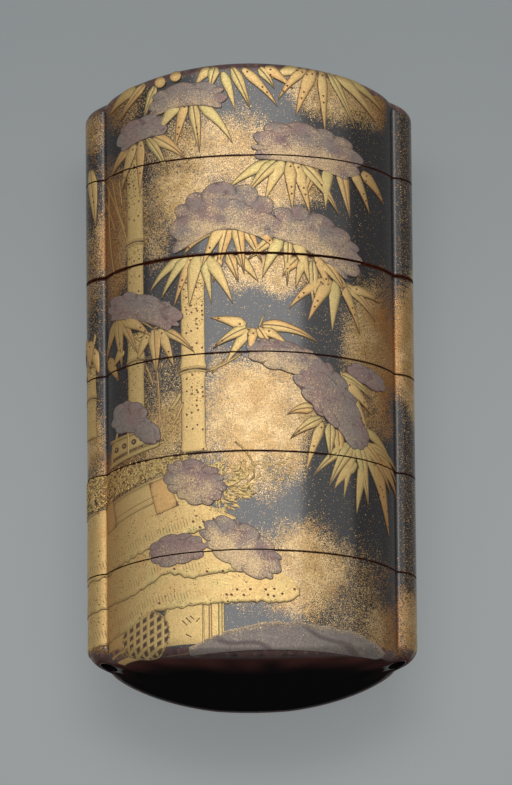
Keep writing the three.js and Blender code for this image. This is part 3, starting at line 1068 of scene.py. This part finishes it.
# Thin twigs: start, end, width, sideways bow, tint
twigs = [
    ((-22.4, 74.6), (-18.0, 64.0), 0.34, 0.4, 0.9), ((-21.8, 74.0), (-20.6, 60.0), 0.34, -0.5, 0.85),
    ((-21.0, 74.8), (-18.4, 66.4), 0.26, -0.3, 0.4), ((-22.8, 72.0), (-20.4, 66.8), 0.5, 0.2, 0.95),
    ((-22.4, 75.2), (-17.6, 76.0), 0.26, 0.2, 0.8), ((-19.6, 74.6), (-19.0, 70.2), 0.22, 0.0, 0.3),
    ((-9.6, 38.6), (-12.8, 33.2), 0.4, 0.4, 0.8), ((-9.9, 40.2), (-11.6, 37.6), 0.7, 0.2, 0.4),
    ((-14.3, 49.6), (-13.2, 34.4), 0.3, 0.5, 0.95), ((-15.2, 45.2), (-14.0, 41.6), 0.3, 0.1, 0.8),
    ((-5.9, 43.0), (-1.2, 45.4), 0.42, -0.2, 0.55), ((-5.4, 42.6), (-3.6, 44.6), 0.3, 0.0, 0.7),
    ((1.2, 49.3), (2.0, 51.3), 0.34, 0.0, 0.3), ((-0.6, 49.4), (0.9, 48.6), 0.3, 0.0, 0.6),
    ((-10.9, 84.6), (-6.9, 84.2), 0.3, 0.3, 0.85), ((-4.2, 65.5), (1.2, 65.4), 0.3, 0.3, 0.85),
    ((3.0, 75.3), (8.4, 75.4), 0.3, 0.3, 0.85), ((3.6, 63.7), (8.4, 63.6), 0.3, 0.2, 0.85),
    ((-18.0, 79.2), (-13.4, 80.2), 0.3, 0.2, 0.85), ((-19.8, 53.5), (-14.0, 50.4), 0.36, 0.5, 0.7),
    ((-14.0, 50.4), (-11.6, 50.6), 0.34, 0.1, 0.7), ((12.9, 43.6), (16.8, 36.0), 0.3, -0.5, 0.6),
    ((-24.6, 52.4), (-27.0, 46.0), 0.4, 0.4, 0.6), ((9.6, 61.0), (14.0, 56.4), 0.42, 0.4, 0.5),
    ((-2.2, 32.0), (0.4, 26.6), 0.3, 0.8, 0.4), ((0.4, 26.6), (-1.0, 24.4), 0.28, -0.4, 0.4),
]


def addTwigs():
    for start, stop, width, bow, tint in twigs:
        addStroke(start, stop, width, bow, ground=0.04, lift=0.10, taper=0.25, tint=tint)


addStems()
addTwigs()
print("stems and twigs:", len(patches["gold"]))


# Snow: one lumpy cap from overlapping round lobes, on a polar grid

def capOutline(angle, lobes, arched, rng):
    # The reach of a cap each way, how far along its own scallop each direction lies, and where the
    # scallops meet. A cap over leaves is hollow on their side.
    place = (angle + math.pi / 2) % math.tau / math.tau
    plain = 0.07 if arched else 0.0
    uneven = np.concatenate([[0], rng.uniform(-0.32, 0.32, lobes - 1), [0]]) / lobes
    edges = np.linspace(plain, 1 - plain, lobes + 1) + uneven
    number = np.clip(np.searchsorted(edges, place) - 1, 0, lobes - 1)
    within = np.clip((place - edges[number]) / (edges[number + 1] - edges[number]), 0, 1)
    bulk = rng.uniform(0.90, 1.10, lobes)
    bulk = np.convolve(np.concatenate([bulk[:1], bulk, bulk[-1:]]), [0.25, 0.5, 0.25], "valid")
    full = (np.abs(np.cos(angle)) ** 2.3 + np.abs(np.sin(angle)) ** 2.3) ** (-1 / 2.3)
    full = full * (0.86 + 0.14 * np.abs(np.sin(math.pi * within)) ** 0.7) * bulk[number]
    full = full * (1 + 0.025 * ripple(2 * np.cos(angle), 2 * np.sin(angle), 1.3, lobes))
    probe = np.linspace(0, 1.3, 160)[:, None]
    s, u = probe * np.cos(angle), probe * np.sin(angle)
    inside = (probe < full) & ((arched == 0) | (u > -0.8 + 0.75 * arched * (1 - s**2)))
    far = np.where(np.logical_and.accumulate(inside | (probe < 0.1), axis=0), probe, 0).max(0)
    for _ in range(2):
        far = (np.roll(far, 1) + 2 * far + np.roll(far, -1)) / 4
    return far, within, edges * math.tau - math.pi / 2


capLayers = {"ground": 0.145, "lift": 0.25}


def addCap(centre, size, lobes, lean, dusting, arched, seed):
    # A low dome with a scalloped upper edge, a second row of scallops drawn on it in painted shade, and
    # faint creases of painted shade that run in from between them. Its gold dust is thickest below.
    rng = np.random.default_rng(seed)
    w, h = size
    sectors = int(np.clip(math.pi * (w + h) / 0.15, 60, 420))
    rings = int(np.clip(max(w, h) / 0.13, 14, 76))
    angle = np.arange(sectors) / sectors * math.tau
    far, within, edges = capOutline(angle, lobes, arched, rng)
    share = np.linspace(0, 1, rings)[:, None]
    s, u = w * far * share * np.cos(angle), h * far * share * np.sin(angle)
    radius = np.hypot(w * far * np.cos(angle), h * far * np.sin(angle))
    gap = (1 - share) * radius
    # painted shade in the creases between the scallops and along the second row
    creased = np.zeros(s.shape)
    for edge in edges[1:-1]:
        bent = edge + rng.choice([-1, 1]) * rng.uniform(0.2, 0.5) * (1 - share)
        aside = np.abs((angle - bent + math.pi) % math.tau - math.pi) * np.hypot(s, u)
        outer = smooth(rng.uniform(0.45, 0.7), 0.95, share)
        creased = np.maximum(creased, (1 - smooth(0.03, 0.15, aside)) * outer)
    secondRow = rng.uniform(0.55, 0.66) * (0.86 + 0.14 * np.abs(np.sin(math.pi * (within + 0.5))) ** 0.6)
    inner = np.abs(share - secondRow) * radius
    inner = (1 - smooth(0.02, 0.14, inner)) * smooth(-0.1, 0.5, np.sin(angle))
    creased = np.maximum(creased, 0.8 * inner * smooth(-0.3, 0.4, ripple(s, u, 3.4, seed + 50)))
    bulge = capLayers["lift"] - capLayers["ground"]
    height = bulge * np.sqrt(1 - 0.9 * share**2) * smooth(-0.2, 0.5, gap) * (1 - 0.3 * creased)
    height = capLayers["ground"] + height
    tilt = math.radians(lean)
    across = centre[0] + s * math.cos(tilt) - u * math.sin(tilt)
    up = centre[1] + s * math.sin(tilt) + u * math.cos(tilt)
    lower = smooth(0.55, -0.45, u / h) * smooth(1.05, 0.3, np.abs(s / w))
    dusted = dusting * (0.12 + 0.9 * lower + 0.3 * ripple(across, up, 3.6, seed + 90))
    addDisc("snow", across, up, height, np.stack([s, u], -1), edgeGap=gap,
            creased=0.8 * creased * smooth(0.02, 0.2, gap), dusting=np.clip(dusted, 0, 0.9))


def curveThrough(corners, s, softness=0.5):
    # straight runs between the corners, rounded by averaging over a short stretch
    xs, ys = np.array(corners, float).T
    return np.mean([np.interp(s + d, xs, ys) for d in np.linspace(-softness, softness, 9)], axis=0)


def addBank(top, bottom, seed):
    # drifted snow along the foot: a wavy top edge lost in gold mist, and a few long hollows in painted
    # shade
    s = np.arange(top[0][0], top[-1][0], 0.15)
    low = curveThrough(bottom, s)
    high = curveThrough(top, s, 0.9) + 0.2 * ripple(s, 0 * s, 5.3, seed) + 0.12 * np.abs(np.sin(1.3 * s))
    high = np.maximum(high, low + 0.1)
    share = np.linspace(0, 1, 26)[None]
    up = low[:, None] + (high - low)[:, None] * share
    across = s[:, None] + 0 * up
    toTop = high[:, None] - up
    gap = np.minimum(toTop, np.minimum(s - s[0], s[-1] - s)[:, None])
    swell = 0.5 + 0.5 * np.sin(up * 1.5 + 0.35 * across + 1.2 * ripple(across, up, 9, seed + 1))
    # painted shade along the long hollows
    creased = 0.75 * smooth(0.8, 1.0, swell) * smooth(0.4, 1.2, toTop)
    height = 0.06 + (0.1 + 0.05 * swell) * smooth(0, 0.9, gap)
    dusting = 0.35 * smooth(1.0, 0.1, toTop) + 0.08 * smooth(0, 1, ripple(across, up, 5, seed + 2))
    addPatch("snow", across, up, height, np.stack([across, up], -1), edgeGap=gap + 0.1, creased=creased,
             dusting=dusting, drifted=0.85)


# (across, up), (half width, half height), lobes, lean, gold dust and how far the leaves' side is hollowed
caps = [
    ((-8.5, 84.6), (5.9, 2.9), 8, 0, 0.5, 0.6), ((-15.6, 80.7), (4.2, 2.4), 6, 10, 0.1, 0.4),
    ((8.4, 76.7), (8.3, 4.0), 10, -10, 0.8, 0.25), ((-3.7, 65.0), (7.7, 6.4), 11, 4, 0.9, 0.9),
    ((9.6, 62.9), (7.8, 4.3), 10, -27, 0.7, 0.4), ((-15.8, 53.2), (6.3, 2.7), 9, -22, 0.15, 0.45),
    ((4.7, 45.0), (5.4, 2.3), 9, -14, 0.7, 0.0), ((11.0, 40.0), (6.6, 3.5), 13, -50, 0.15, 0.0),
    ((14.8, 34.9), (3.2, 2.1), 8, -56, 0.1, 0.0), ((17.2, 43.4), (3.4, 1.5), 7, -14, 0.05, 0.0),
    ((-18.0, 37.8), (3.2, 2.4), 8, -16, 0.0, 0.0), ((-15.2, 35.2), (3.0, 1.6), 8, -46, 0.0, 0.0),
    ((-8.0, 26.3), (4.8, 3.1), 12, -26, 0.6, 0.0), ((-10.7, 16.4), (4.2, 2.5), 10, 0, 0.2, 0.0),
    ((-1.3, 16.0), (6.5, 3.3), 13, -36, 1.0, 0.0),
    # the back
    ((40.0, 84.6), (5.6, 2.7), 8, 0, 0.5, 0.5), ((-40.0, 74.2), (5.8, 2.8), 8, 0, 0.5, 0.5),
    ((41.5, 55.4), (5.6, 2.7), 8, 0, 0.5, 0.5), ((-39.5, 44.4), (5.6, 2.7), 8, 0, 0.5, 0.5),
    ((38.5, 28.4), (5.6, 2.7), 8, 0, 0.5, 0.5),
]
for number, cap in enumerate(caps):
    addCap(*cap, 200 + number)

bank = {
    "top": [(-9.0, 1.3), (-6.0, 2.6), (-2.0, 3.9), (2.0, 4.7), (7.0, 4.9), (11.0, 4.4), (14.5, 4.3),
            (17.5, 3.6), (20.3, 2.6)],
    "bottom": [(-9.0, 0.35), (20.3, 1.15)],
    "seed": 260,
}
addBank(**bank)
print("snow caps and bank:", len(patches["snow"]))


# The thatched hut: three layers of roof, each a little lower and further out than the one above

def thatchEdge(corners, seed):
    # a lower edge with a scalloped fringe
    def edge(s):
        scallop = 0.2 * np.abs(np.sin(s * 2.1 + ripple(s, 0 * s, 5, seed)))
        return curveThrough(corners, s) - scallop - 0.12 * ripple(s, 0 * s, 1.7, seed + 1)
    return edge


ridge = [(-29, 24.6), (-22.7, 25.6), (-12.6, 28.0), (-9.8, 24.8), (-2.0, 20.6)]
eaves = [
    [(-29, 14.6), (-22.1, 15.4), (-18.0, 16.4), (-12.3, 17.9), (-7.2, 18.9), (-2.0, 20.4)],
    [(-29, 10.0), (-21.6, 10.6), (-18.0, 10.6), (-14.6, 11.9), (-12.3, 13.2), (-8.6, 11.9), (-5.0, 12.4),
     (0.0, 12.7), (3.8, 13.0)],
    [(-29, 4.6), (-21.6, 5.2), (-18.9, 5.7), (-14.6, 7.7), (-10.8, 7.6), (-1.5, 7.9), (3.6, 7.8),
     (5.3, 8.0), (6.3, 8.6), (6.7, 9.3)],
]
roofTops = [
    ridge,
    [(-29, 15.0), (-12.3, 18.2), (-7.2, 19.0), (0.0, 15.4), (3.8, 13.2)],
    [(-29, 10.3), (-12.3, 13.4), (-5.0, 12.7), (2.6, 13.0), (4.4, 12.0), (5.6, 11.4), (6.3, 10.7),
     (6.7, 9.6)],
]
roofLift = {"ground": 0.02, "lift": 0.07, "edge": 0.12}


def addRoof(number):
    # A layer of thatch between its top line and its fringed lower edge, thickest along that edge. It is
    # hatched near the edge at its left, spotted at its right, and thinned in patches.
    seed = 310 + 10 * number
    lower = thatchEdge(eaves[number], seed)
    s = np.arange(-29.0, eaves[number][-1][0], 0.16)
    bottom = lower(s)
    top = curveThrough(roofTops[number], s)
    if number:  # tucked under the layer above as far as that one reaches
        above = thatchEdge(eaves[number - 1], seed - 10)(s) - 0.02
        top = np.where(s > eaves[number - 1][-1][0], top, np.minimum(top, above))
    top = np.maximum(top, bottom + 0.12)
    share = np.linspace(0, 1, 17)[None] ** 0.8
    up = top[:, None] + (bottom - top)[:, None] * share
    across = s[:, None] + 0 * up
    toEdge = up - bottom[:, None]
    rise = smooth(2.6, 0.5, toEdge)
    height = roofLift["ground"] + (roofLift["lift"] - roofLift["ground"]) * smooth(0, 0.4, share)
    height = (height + (roofLift["edge"] - roofLift["lift"]) * rise) * smooth(-0.15, 0.22, toEdge)
    height = height + 0.008 * ripple(across, up, 1.1, seed + 2)
    gap = np.minimum(toEdge, (s[-1] - s)[:, None])
    gap = np.minimum(gap, (top[:, None] - up) + (0.02 if number == 0 else 0.3))
    spotted = 0.55 * smooth(-16, -2, across) * smooth(3.0, 1.4, toEdge) * smooth(0.1, 0.5, toEdge)
    hatched = smooth(2.6, 2.2, toEdge) * smooth(1.0, 1.35, toEdge) * smooth(-5, -10, across)
    hatched = hatched * smooth(-1.1, -0.3, ripple(across, up, 3.0, seed + 3))
    tint = 0.50 - 0.16 * smooth(1.6, 0.6, toEdge) + 0.22 * ripple(across, up, 5.0, seed + 4)
    thinned = 0.01 + 0.05 * smooth(0.0, 1.0, ripple(across, up, 4.0, seed + 6))
    chart = np.stack([0.8 * up + 50, 0.8 * (across + 0.25 * up)], -1)
    addPatch("gold", across, up, height, chart, edgeGap=gap, tint=np.clip(tint, 0, 1),
             hatched=0.65 * hatched, spotted=spotted, thinned=thinned)


def addBoard(corners, lift, tint):
    # a flat four-sided panel; the corners go round it
    a, b, c, d = np.array(corners, float)
    long = max(np.hypot(*(b - a)), np.hypot(*(c - d)))
    s = np.linspace(0, 1, max(3, int(long / 0.4)))[:, None, None]
    t = np.linspace(0, 1, 6)[None, :, None]
    place = (a * (1 - s) + b * s) * (1 - t) + (d * (1 - s) + c * s) * t
    deep = (np.hypot(*(d - a)) + np.hypot(*(c - b))) / 2
    gap = np.minimum(np.minimum(s, 1 - s) * long, np.minimum(t, 1 - t) * deep)[..., 0]
    across, up = place[..., 0], place[..., 1]
    addPatch("gold", across, up, lift + 0 * up, np.stack([across + 60, up], -1), edgeGap=gap, tint=tint)


# Boards of the hut and the rail behind it: corners, lift, tint
boards = [
    ([(-12.6, 0.6), (-3.9, 0.6), (-3.9, 8.0), (-12.6, 8.0)], 0.04, 0.40),
    ([(-22.7, 0.9), (-17.4, 0.7), (-17.4, 6.2), (-22.7, 5.6)], 0.04, 0.55),
    ([(-22.6, 21.4), (-20.4, 21.9), (-21.2, 26.2), (-23.2, 25.8)], 0.085, 0.85),
    ([(-20.4, 22.2), (-13.6, 24.0), (-14.4, 27.2), (-21.2, 25.6)], 0.08, 0.45),
    ([(-13.6, 22.0), (-10.2, 23.0), (-12.2, 27.6), (-14.8, 27.0)], 0.09, 0.9),
    ([(-21.8, 32.2), (-13.8, 33.4), (-15.0, 35.2), (-21.4, 34.8)], 0.05, 0.25),
]
# Beams, posts and rails: start, end, width, tint
timbers = [
    ((-22.0, 31.4), (-13.0, 32.8), 0.8, 0.3), ((-21.8, 35.0), (-14.4, 35.4), 0.5, 0.35),
    ((-18.2, 31.9), (-18.2, 37.2), 0.4, 0.35), ((-21.6, 31.6), (-20.0, 36.8), 0.42, 0.6),
    ((-5.9, 0.9), (-5.9, 7.8), 0.5, 0.8), ((-4.5, 0.9), (-4.5, 8.0), 0.6, 0.2),
    ((-6.9, 1.0), (-6.9, 7.8), 0.3, 0.3), ((-27.4, 24.8), (-24.2, 25.2), 0.35, 0.5),
    ((-20.6, 23.2), (-13.7, 25.0), 0.16, 0.95),
]
# Short dark strokes on the wall and its post: start, end
dashes = [
    ((-9.9, 5.6), (-9.2, 4.8)), ((-9.4, 6.0), (-8.6, 5.1)), ((-8.8, 6.2), (-8.2, 5.6)),
    ((-7.9, 5.2), (-7.4, 5.8)), ((-9.4, 3.5), (-8.6, 3.0)), ((-6.1, 6.2), (-5.8, 5.9)),
    ((-6.1, 4.6), (-5.8, 4.4)), ((-6.1, 3.0), (-5.8, 2.8)),
]
lattice = {"centre": (-15.6, 4.1), "radius": 3.8, "bars": 6, "width": 0.62, "slant": 24, "rim": 0.26}
rivets = {"across": (-20.4, -18.9, -17.2, -15.8), "up": 33.6, "slope": 0.12, "radius": 0.42, "heart": 0.2}
buds = {"places": ((-12.6, 87.8), (-10.3, 88.4)), "radius": 0.85, "height": 0.2, "tint": 0.7}


def addRound(centre, radius, height, kind, **given):
    # a flat disc
    angle = np.arange(48) / 48 * math.tau
    share = np.linspace(0, 1, 8)[:, None]
    s, u = radius * share * np.cos(angle), radius * share * np.sin(angle)
    addDisc(kind, centre[0] + s, centre[1] + u, height + 0 * s, np.stack([s, u], -1),
            edgeGap=radius * (1 - share) + 0 * s, **given)


def addLattice():
    # a round window: a dark disc under uprights and slanted rails that stop at its rim
    s0, u0 = lattice["centre"]
    radius = lattice["radius"]
    addRound((s0, u0), radius, 0.05, "line")
    for tilt in (90, lattice["slant"]):
        along = np.array([math.cos(math.radians(tilt)), math.sin(math.radians(tilt))])
        for number in range(lattice["bars"]):
            off = radius * 0.88 * (2 * (number + 0.5) / lattice["bars"] - 1)
            middle = np.array([s0, u0]) + off * np.array([-along[1], along[0]])
            reach = math.sqrt(radius**2 - off**2) * along
            addStroke(middle - reach, middle + reach, lattice["width"], ground=0.05, lift=0.085, taper=0,
                      tint=0.42)
    corners = [(s0 + radius * math.cos(a), u0 + radius * math.sin(a)) for a in np.linspace(0, math.tau, 31)]
    for start, stop in zip(corners, corners[1:]):
        addStroke(start, stop, lattice["rim"], lift=0.09, taper=0, tint=0.5)


def addHut():
    for corners, lift, tint in boards:
        addBoard(corners, lift, tint)
    for number in range(len(eaves)):
        addRoof(number)
    addLattice()
    for start, stop, width, tint in timbers:
        addStroke(start, stop, width, ground=0.04, lift=0.11, taper=0.05, tint=tint)
    for start, stop in dashes:
        addStroke(start, stop, 0.2, lift=0.07, kind="line", taper=0.3)
    for s in rivets["across"]:
        place = (s, rivets["up"] + rivets["slope"] * (s + 20))
        addRound(place, rivets["radius"], 0.075, "line")
        addRound(place, rivets["heart"], 0.09, "gold", tint=0.3)
    for place in buds["places"]:
        addRound(place, buds["radius"], buds["height"], "gold", tint=buds["tint"])


def addDab(place, heading, length, width, tint, lift=0.12):
    # a tiny leaf of five rows and three columns, fullest and highest at its middle
    share = np.array([0.0, 0.25, 0.55, 0.85, 1.0])[:, None]
    turn = math.radians(heading)
    side = np.array([-1.0, 0.0, 1.0])[None]
    aside = width / 2 * np.array([0.25, 0.9, 1.0, 0.6, 0.12])[:, None] * side
    along = share * length + 0 * aside
    across = place[0] + along * math.cos(turn) - math.sin(turn) * aside
    up = place[1] + along * math.sin(turn) + math.cos(turn) * aside
    ground = 0.03
    swell = (lift - ground) * np.array([0.3, 1.0, 0.3]) * np.array([0.6, 1, 1, 0.8, 0.3])[:, None]
    height = ground + swell
    gap = np.where(np.abs(side) > 0.5, 0.06, 0.5) + 0 * aside
    addPatch("gold", across, up, height, np.stack([aside + 3, along], -1), edgeGap=gap, tint=tint)


hedge = {"left": -29.0, "right": -8.6, "top": 30.4, "dabs": 900}
# Tufts of the bush at the hedge's right: across, up, size, lean
tufts = [(-5.6, 27.4, 1.5, 20), (-3.4, 25.2, 1.7, -30), (-1.6, 27.2, 1.3, 60), (-3.8, 22.8, 1.3, -60),
         (-6.6, 24.4, 1.3, 120), (-1.0, 24.6, 1.1, 0)]
# Thin growth above the rail and beside the stem: left, right, bottom, top, number of dabs
growths = [(-13.0, -10.2, 31.0, 38.0, 110), (-6.0, 6.0, 26.0, 30.0, 150)]


def addHedge():
    # dabs of leaves: a hedge behind the roof and on over the tube, a bush at its right, and thin growth
    rng = np.random.default_rng(77)
    ridgeLine = np.array(ridge, float).T
    for _ in range(hedge["dabs"]):
        s = rng.uniform(hedge["left"], hedge["right"])
        u = rng.uniform(np.interp(s, *ridgeLine) + 0.2, hedge["top"])
        addDab((s, u), rng.choice([60, 120, 20, 160]) + rng.uniform(-15, 15), rng.uniform(0.5, 0.9),
               rng.uniform(0.2, 0.34), rng.uniform(0.0, 0.7))
    for s0, u0, size, lean in tufts:
        # dabs that turn with their distance from the tuft's middle
        for _ in range(int(38 * size)):
            turn, reach = rng.uniform(0, 360), size * math.sqrt(rng.uniform(0, 1))
            s = s0 + reach * math.cos(math.radians(turn))
            u = u0 + 0.85 * reach * math.sin(math.radians(turn))
            heading = lean + 55 * math.sin(math.radians(turn + 60 * reach)) + rng.uniform(-25, 25)
            addDab((s, u), heading, rng.uniform(0.6, 1.1), rng.uniform(0.22, 0.36), rng.uniform(0.1, 0.7),
                   lift=0.11)
    for left, right, bottom, top, count in growths:
        for _ in range(count):
            addDab((rng.uniform(left, right), rng.uniform(bottom, top)), rng.uniform(0, 180), 0.6, 0.2,
                   rng.uniform(0.2, 0.8), lift=0.08)


addHut()
addHedge()
print("hut and hedge:", len(patches["gold"]), "gold patches,", len(patches["line"]), "dark ones")


# Raised work is cut at the seams, so that each tier carries its own share

# how far the raised work stops short of the seam below each tier, on both sides of it
rimInset = {"lid": 0.05, "case_1": 0.14, "case_2": 0.06, "case_3": 0.05, "case_4": 0.05}
unbounded = 1.0  # metres, well past the box


def tierSpan(name):
    # the lowest and highest y of the raised work on a tier, in metres
    place = tierNames.index(name)
    low, high = -unbounded, unbounded
    if name != "case_5":
        low = (rimUp(name) + rimInset[name] + footEdgeY) * metre
    if name != "lid":
        high = (seams[place - 1] - boxShape["seamGap"] - rimInset[tierNames[place - 1]] + footEdgeY) * metre
    return low, high


def joined(chosen, name):
    # one mesh from many patches, with their fields and their charts
    starts = np.cumsum([0] + [len(patch["points"]) for patch in chosen])
    faces = [[v + start for v in face] for patch, start in zip(chosen, starts) for face in patch["faces"]]
    mesh = meshFrom(name, np.concatenate([patch["points"] for patch in chosen]), faces)
    for key in chosen[0]["fields"]:
        paint(mesh, key, np.concatenate([patch["fields"][key] for patch in chosen]))
    chart = np.concatenate([patch["chart"] for patch in chosen])
    corner = np.empty(len(mesh.loops), np.int32)
    mesh.loops.foreach_get("vertex_index", corner)
    mesh.uv_layers.new(name="reliefMap").data.foreach_set("uv", chart[corner].astype(np.float32).ravel())
    return mesh


def cutAt(mesh, low, high):
    # trims a mesh to the span between two levels and closes the cuts
    work = bmesh.new()
    work.from_mesh(mesh)
    for level, direction in ((low, -1), (high, 1)):
        if abs(level) < unbounded:
            everything = [*work.verts, *work.edges, *work.faces]
            bmesh.ops.bisect_plane(work, geom=everything, plane_co=(0, level, 0),
                                   plane_no=(0, direction, 0), clear_outer=True, dist=1e-8)
            rim = [edge for edge in work.edges if edge.is_boundary]
            if rim:
                bmesh.ops.holes_fill(work, edges=rim, sides=0)
    bmesh.ops.recalc_face_normals(work, faces=work.faces)
    work.to_mesh(mesh)
    work.free()


def makeRelief(kind, label):
    total = 0
    for name in tierNames:
        low, high = tierSpan(name)
        chosen = [patch for patch in patches[kind]
                  if patch["points"][:, 1].max() > low and patch["points"][:, 1].min() < high]
        if not chosen:
            continue
        mesh = joined(chosen, f"{name}_{label}")
        cutAt(mesh, low, high)
        mesh.materials.append(finishes[kind])
        finishShading(mesh, 50)
        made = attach(addObject(f"{name}_{label}", mesh), "root")
        total += len(mesh.polygons)
    print(label, total, "faces")


makeRelief("gold", "gold")
makeRelief("snow", "snow")
makeRelief("line", "lines")


# Floor, light and camera

floorPlan = {
    "half": 8,  # metres
    "up": -0.00002,
    "edge": (0.42, 0.45, 0.46),
    # a painted pool of light: the floor paler round the box
    "paintedLightPool": (0.565, 0.595, 0.60),  # the paler pool round the box
    "poolMiddle": (0, -0.03, 0),
    "poolReach": (0.11, 0.02),
    "lit": 0.42,
    "glow": 0.33,  # most of the floor's brightness is its own, so that the box throws only a faint shadow
}


def makeFloor():
    corners = [[x, y, floorPlan["up"]] for x, y in ((-1, -1), (1, -1), (1, 1), (-1, 1))]
    mesh = meshFrom("floor", np.array(corners) * (floorPlan["half"], floorPlan["half"], 1), [[0, 1, 2, 3]])
    material, shader = newMaterial("paleFloor", Roughness=0.9, Specular_IOR_Level=0.2)
    nodes = Nodes(material)
    away = nodes.add("VectorMath", {0: nodes.place(), 1: floorPlan["poolMiddle"]}, operation="DISTANCE")
    paintedLightPool = nodes.ramp(away.outputs["Value"], *floorPlan["poolReach"])
    # the floor's colour and its own glow both carry the painted pool of light
    grey = nodes.mix(paintedLightPool, floorPlan["edge"], floorPlan["paintedLightPool"])
    nodes.join(nodes.scaled(grey, floorPlan["lit"]), shader.inputs["Base Color"])
    nodes.join(grey, shader.inputs["Emission Color"])
    shader.inputs["Emission Strength"].default_value = floorPlan["glow"]
    mesh.materials.append(material)
    addObject("floor", mesh)


# a lean is in degrees from straight above the front, towards the lid; far and size are in metres
lightPlan = {
    "strip": {"lean": 22.3, "far": 0.9, "size": (0.70, 0.22), "radiance": 3.1},
    "wide": {"lean": 22.3, "far": 1.0, "size": (2.4, 0.5), "radiance": 0.75},
}
cameraPlan = {"lean": -22.8, "roll": 0.5, "far": 3.1, "frameHeight": 110.1, "aim": (0.75, -2.45, 15.26)}
skyPlan = {"colour": (0.95, 0.98, 1.0, 1), "strength": 0.33}


def addFacing(name, data, lean, far, aim, roll=0.0):
    # an object far away from aim that looks back at it
    made = addObject(name, data)
    angle = math.radians(lean)
    back = Vector((0, math.sin(angle), math.cos(angle)))
    up = Vector((0, math.cos(angle), -math.sin(angle)))
    spin = Matrix((up.cross(back), up, back)).transposed() @ Matrix.Rotation(math.radians(-roll), 3, "Z")
    made.matrix_world = Matrix.Translation(Vector(aim) * metre + back * far) @ spin.to_4x4()
    return made


def areaLight(name, lean, far, size, radiance):
    # an area light that faces the box; its power follows from the brightness of its surface
    data = bpy.data.lights.new(name, "AREA")
    data.shape = "RECTANGLE"
    data.size, data.size_y = size
    data.energy = radiance * math.pi * size[0] * size[1]
    addFacing(name, data, lean, far, (0, 0, midZ)).visible_camera = False


def makeCamera():
    data = bpy.data.cameras.new("camera")
    data.sensor_width = 36
    data.lens = data.sensor_width * cameraPlan["far"] / (cameraPlan["frameHeight"] * metre)
    data.clip_start, data.clip_end = 0.1, 20
    bpy.context.scene.camera = addFacing("camera", data, cameraPlan["lean"], cameraPlan["far"],
                                         cameraPlan["aim"], cameraPlan["roll"])


def makeSky():
    world = bpy.data.worlds.new("studio")
    world.use_nodes = True
    sky = world.node_tree.nodes["Background"]
    sky.inputs["Color"].default_value = skyPlan["colour"]
    sky.inputs["Strength"].default_value = skyPlan["strength"]
    bpy.context.scene.world = world


makeFloor()
for name, plan in lightPlan.items():
    areaLight(name, **plan)
makeCamera()
makeSky()
bpy.context.scene.view_settings.view_transform = "Standard"
print("floor, lights and camera placed")
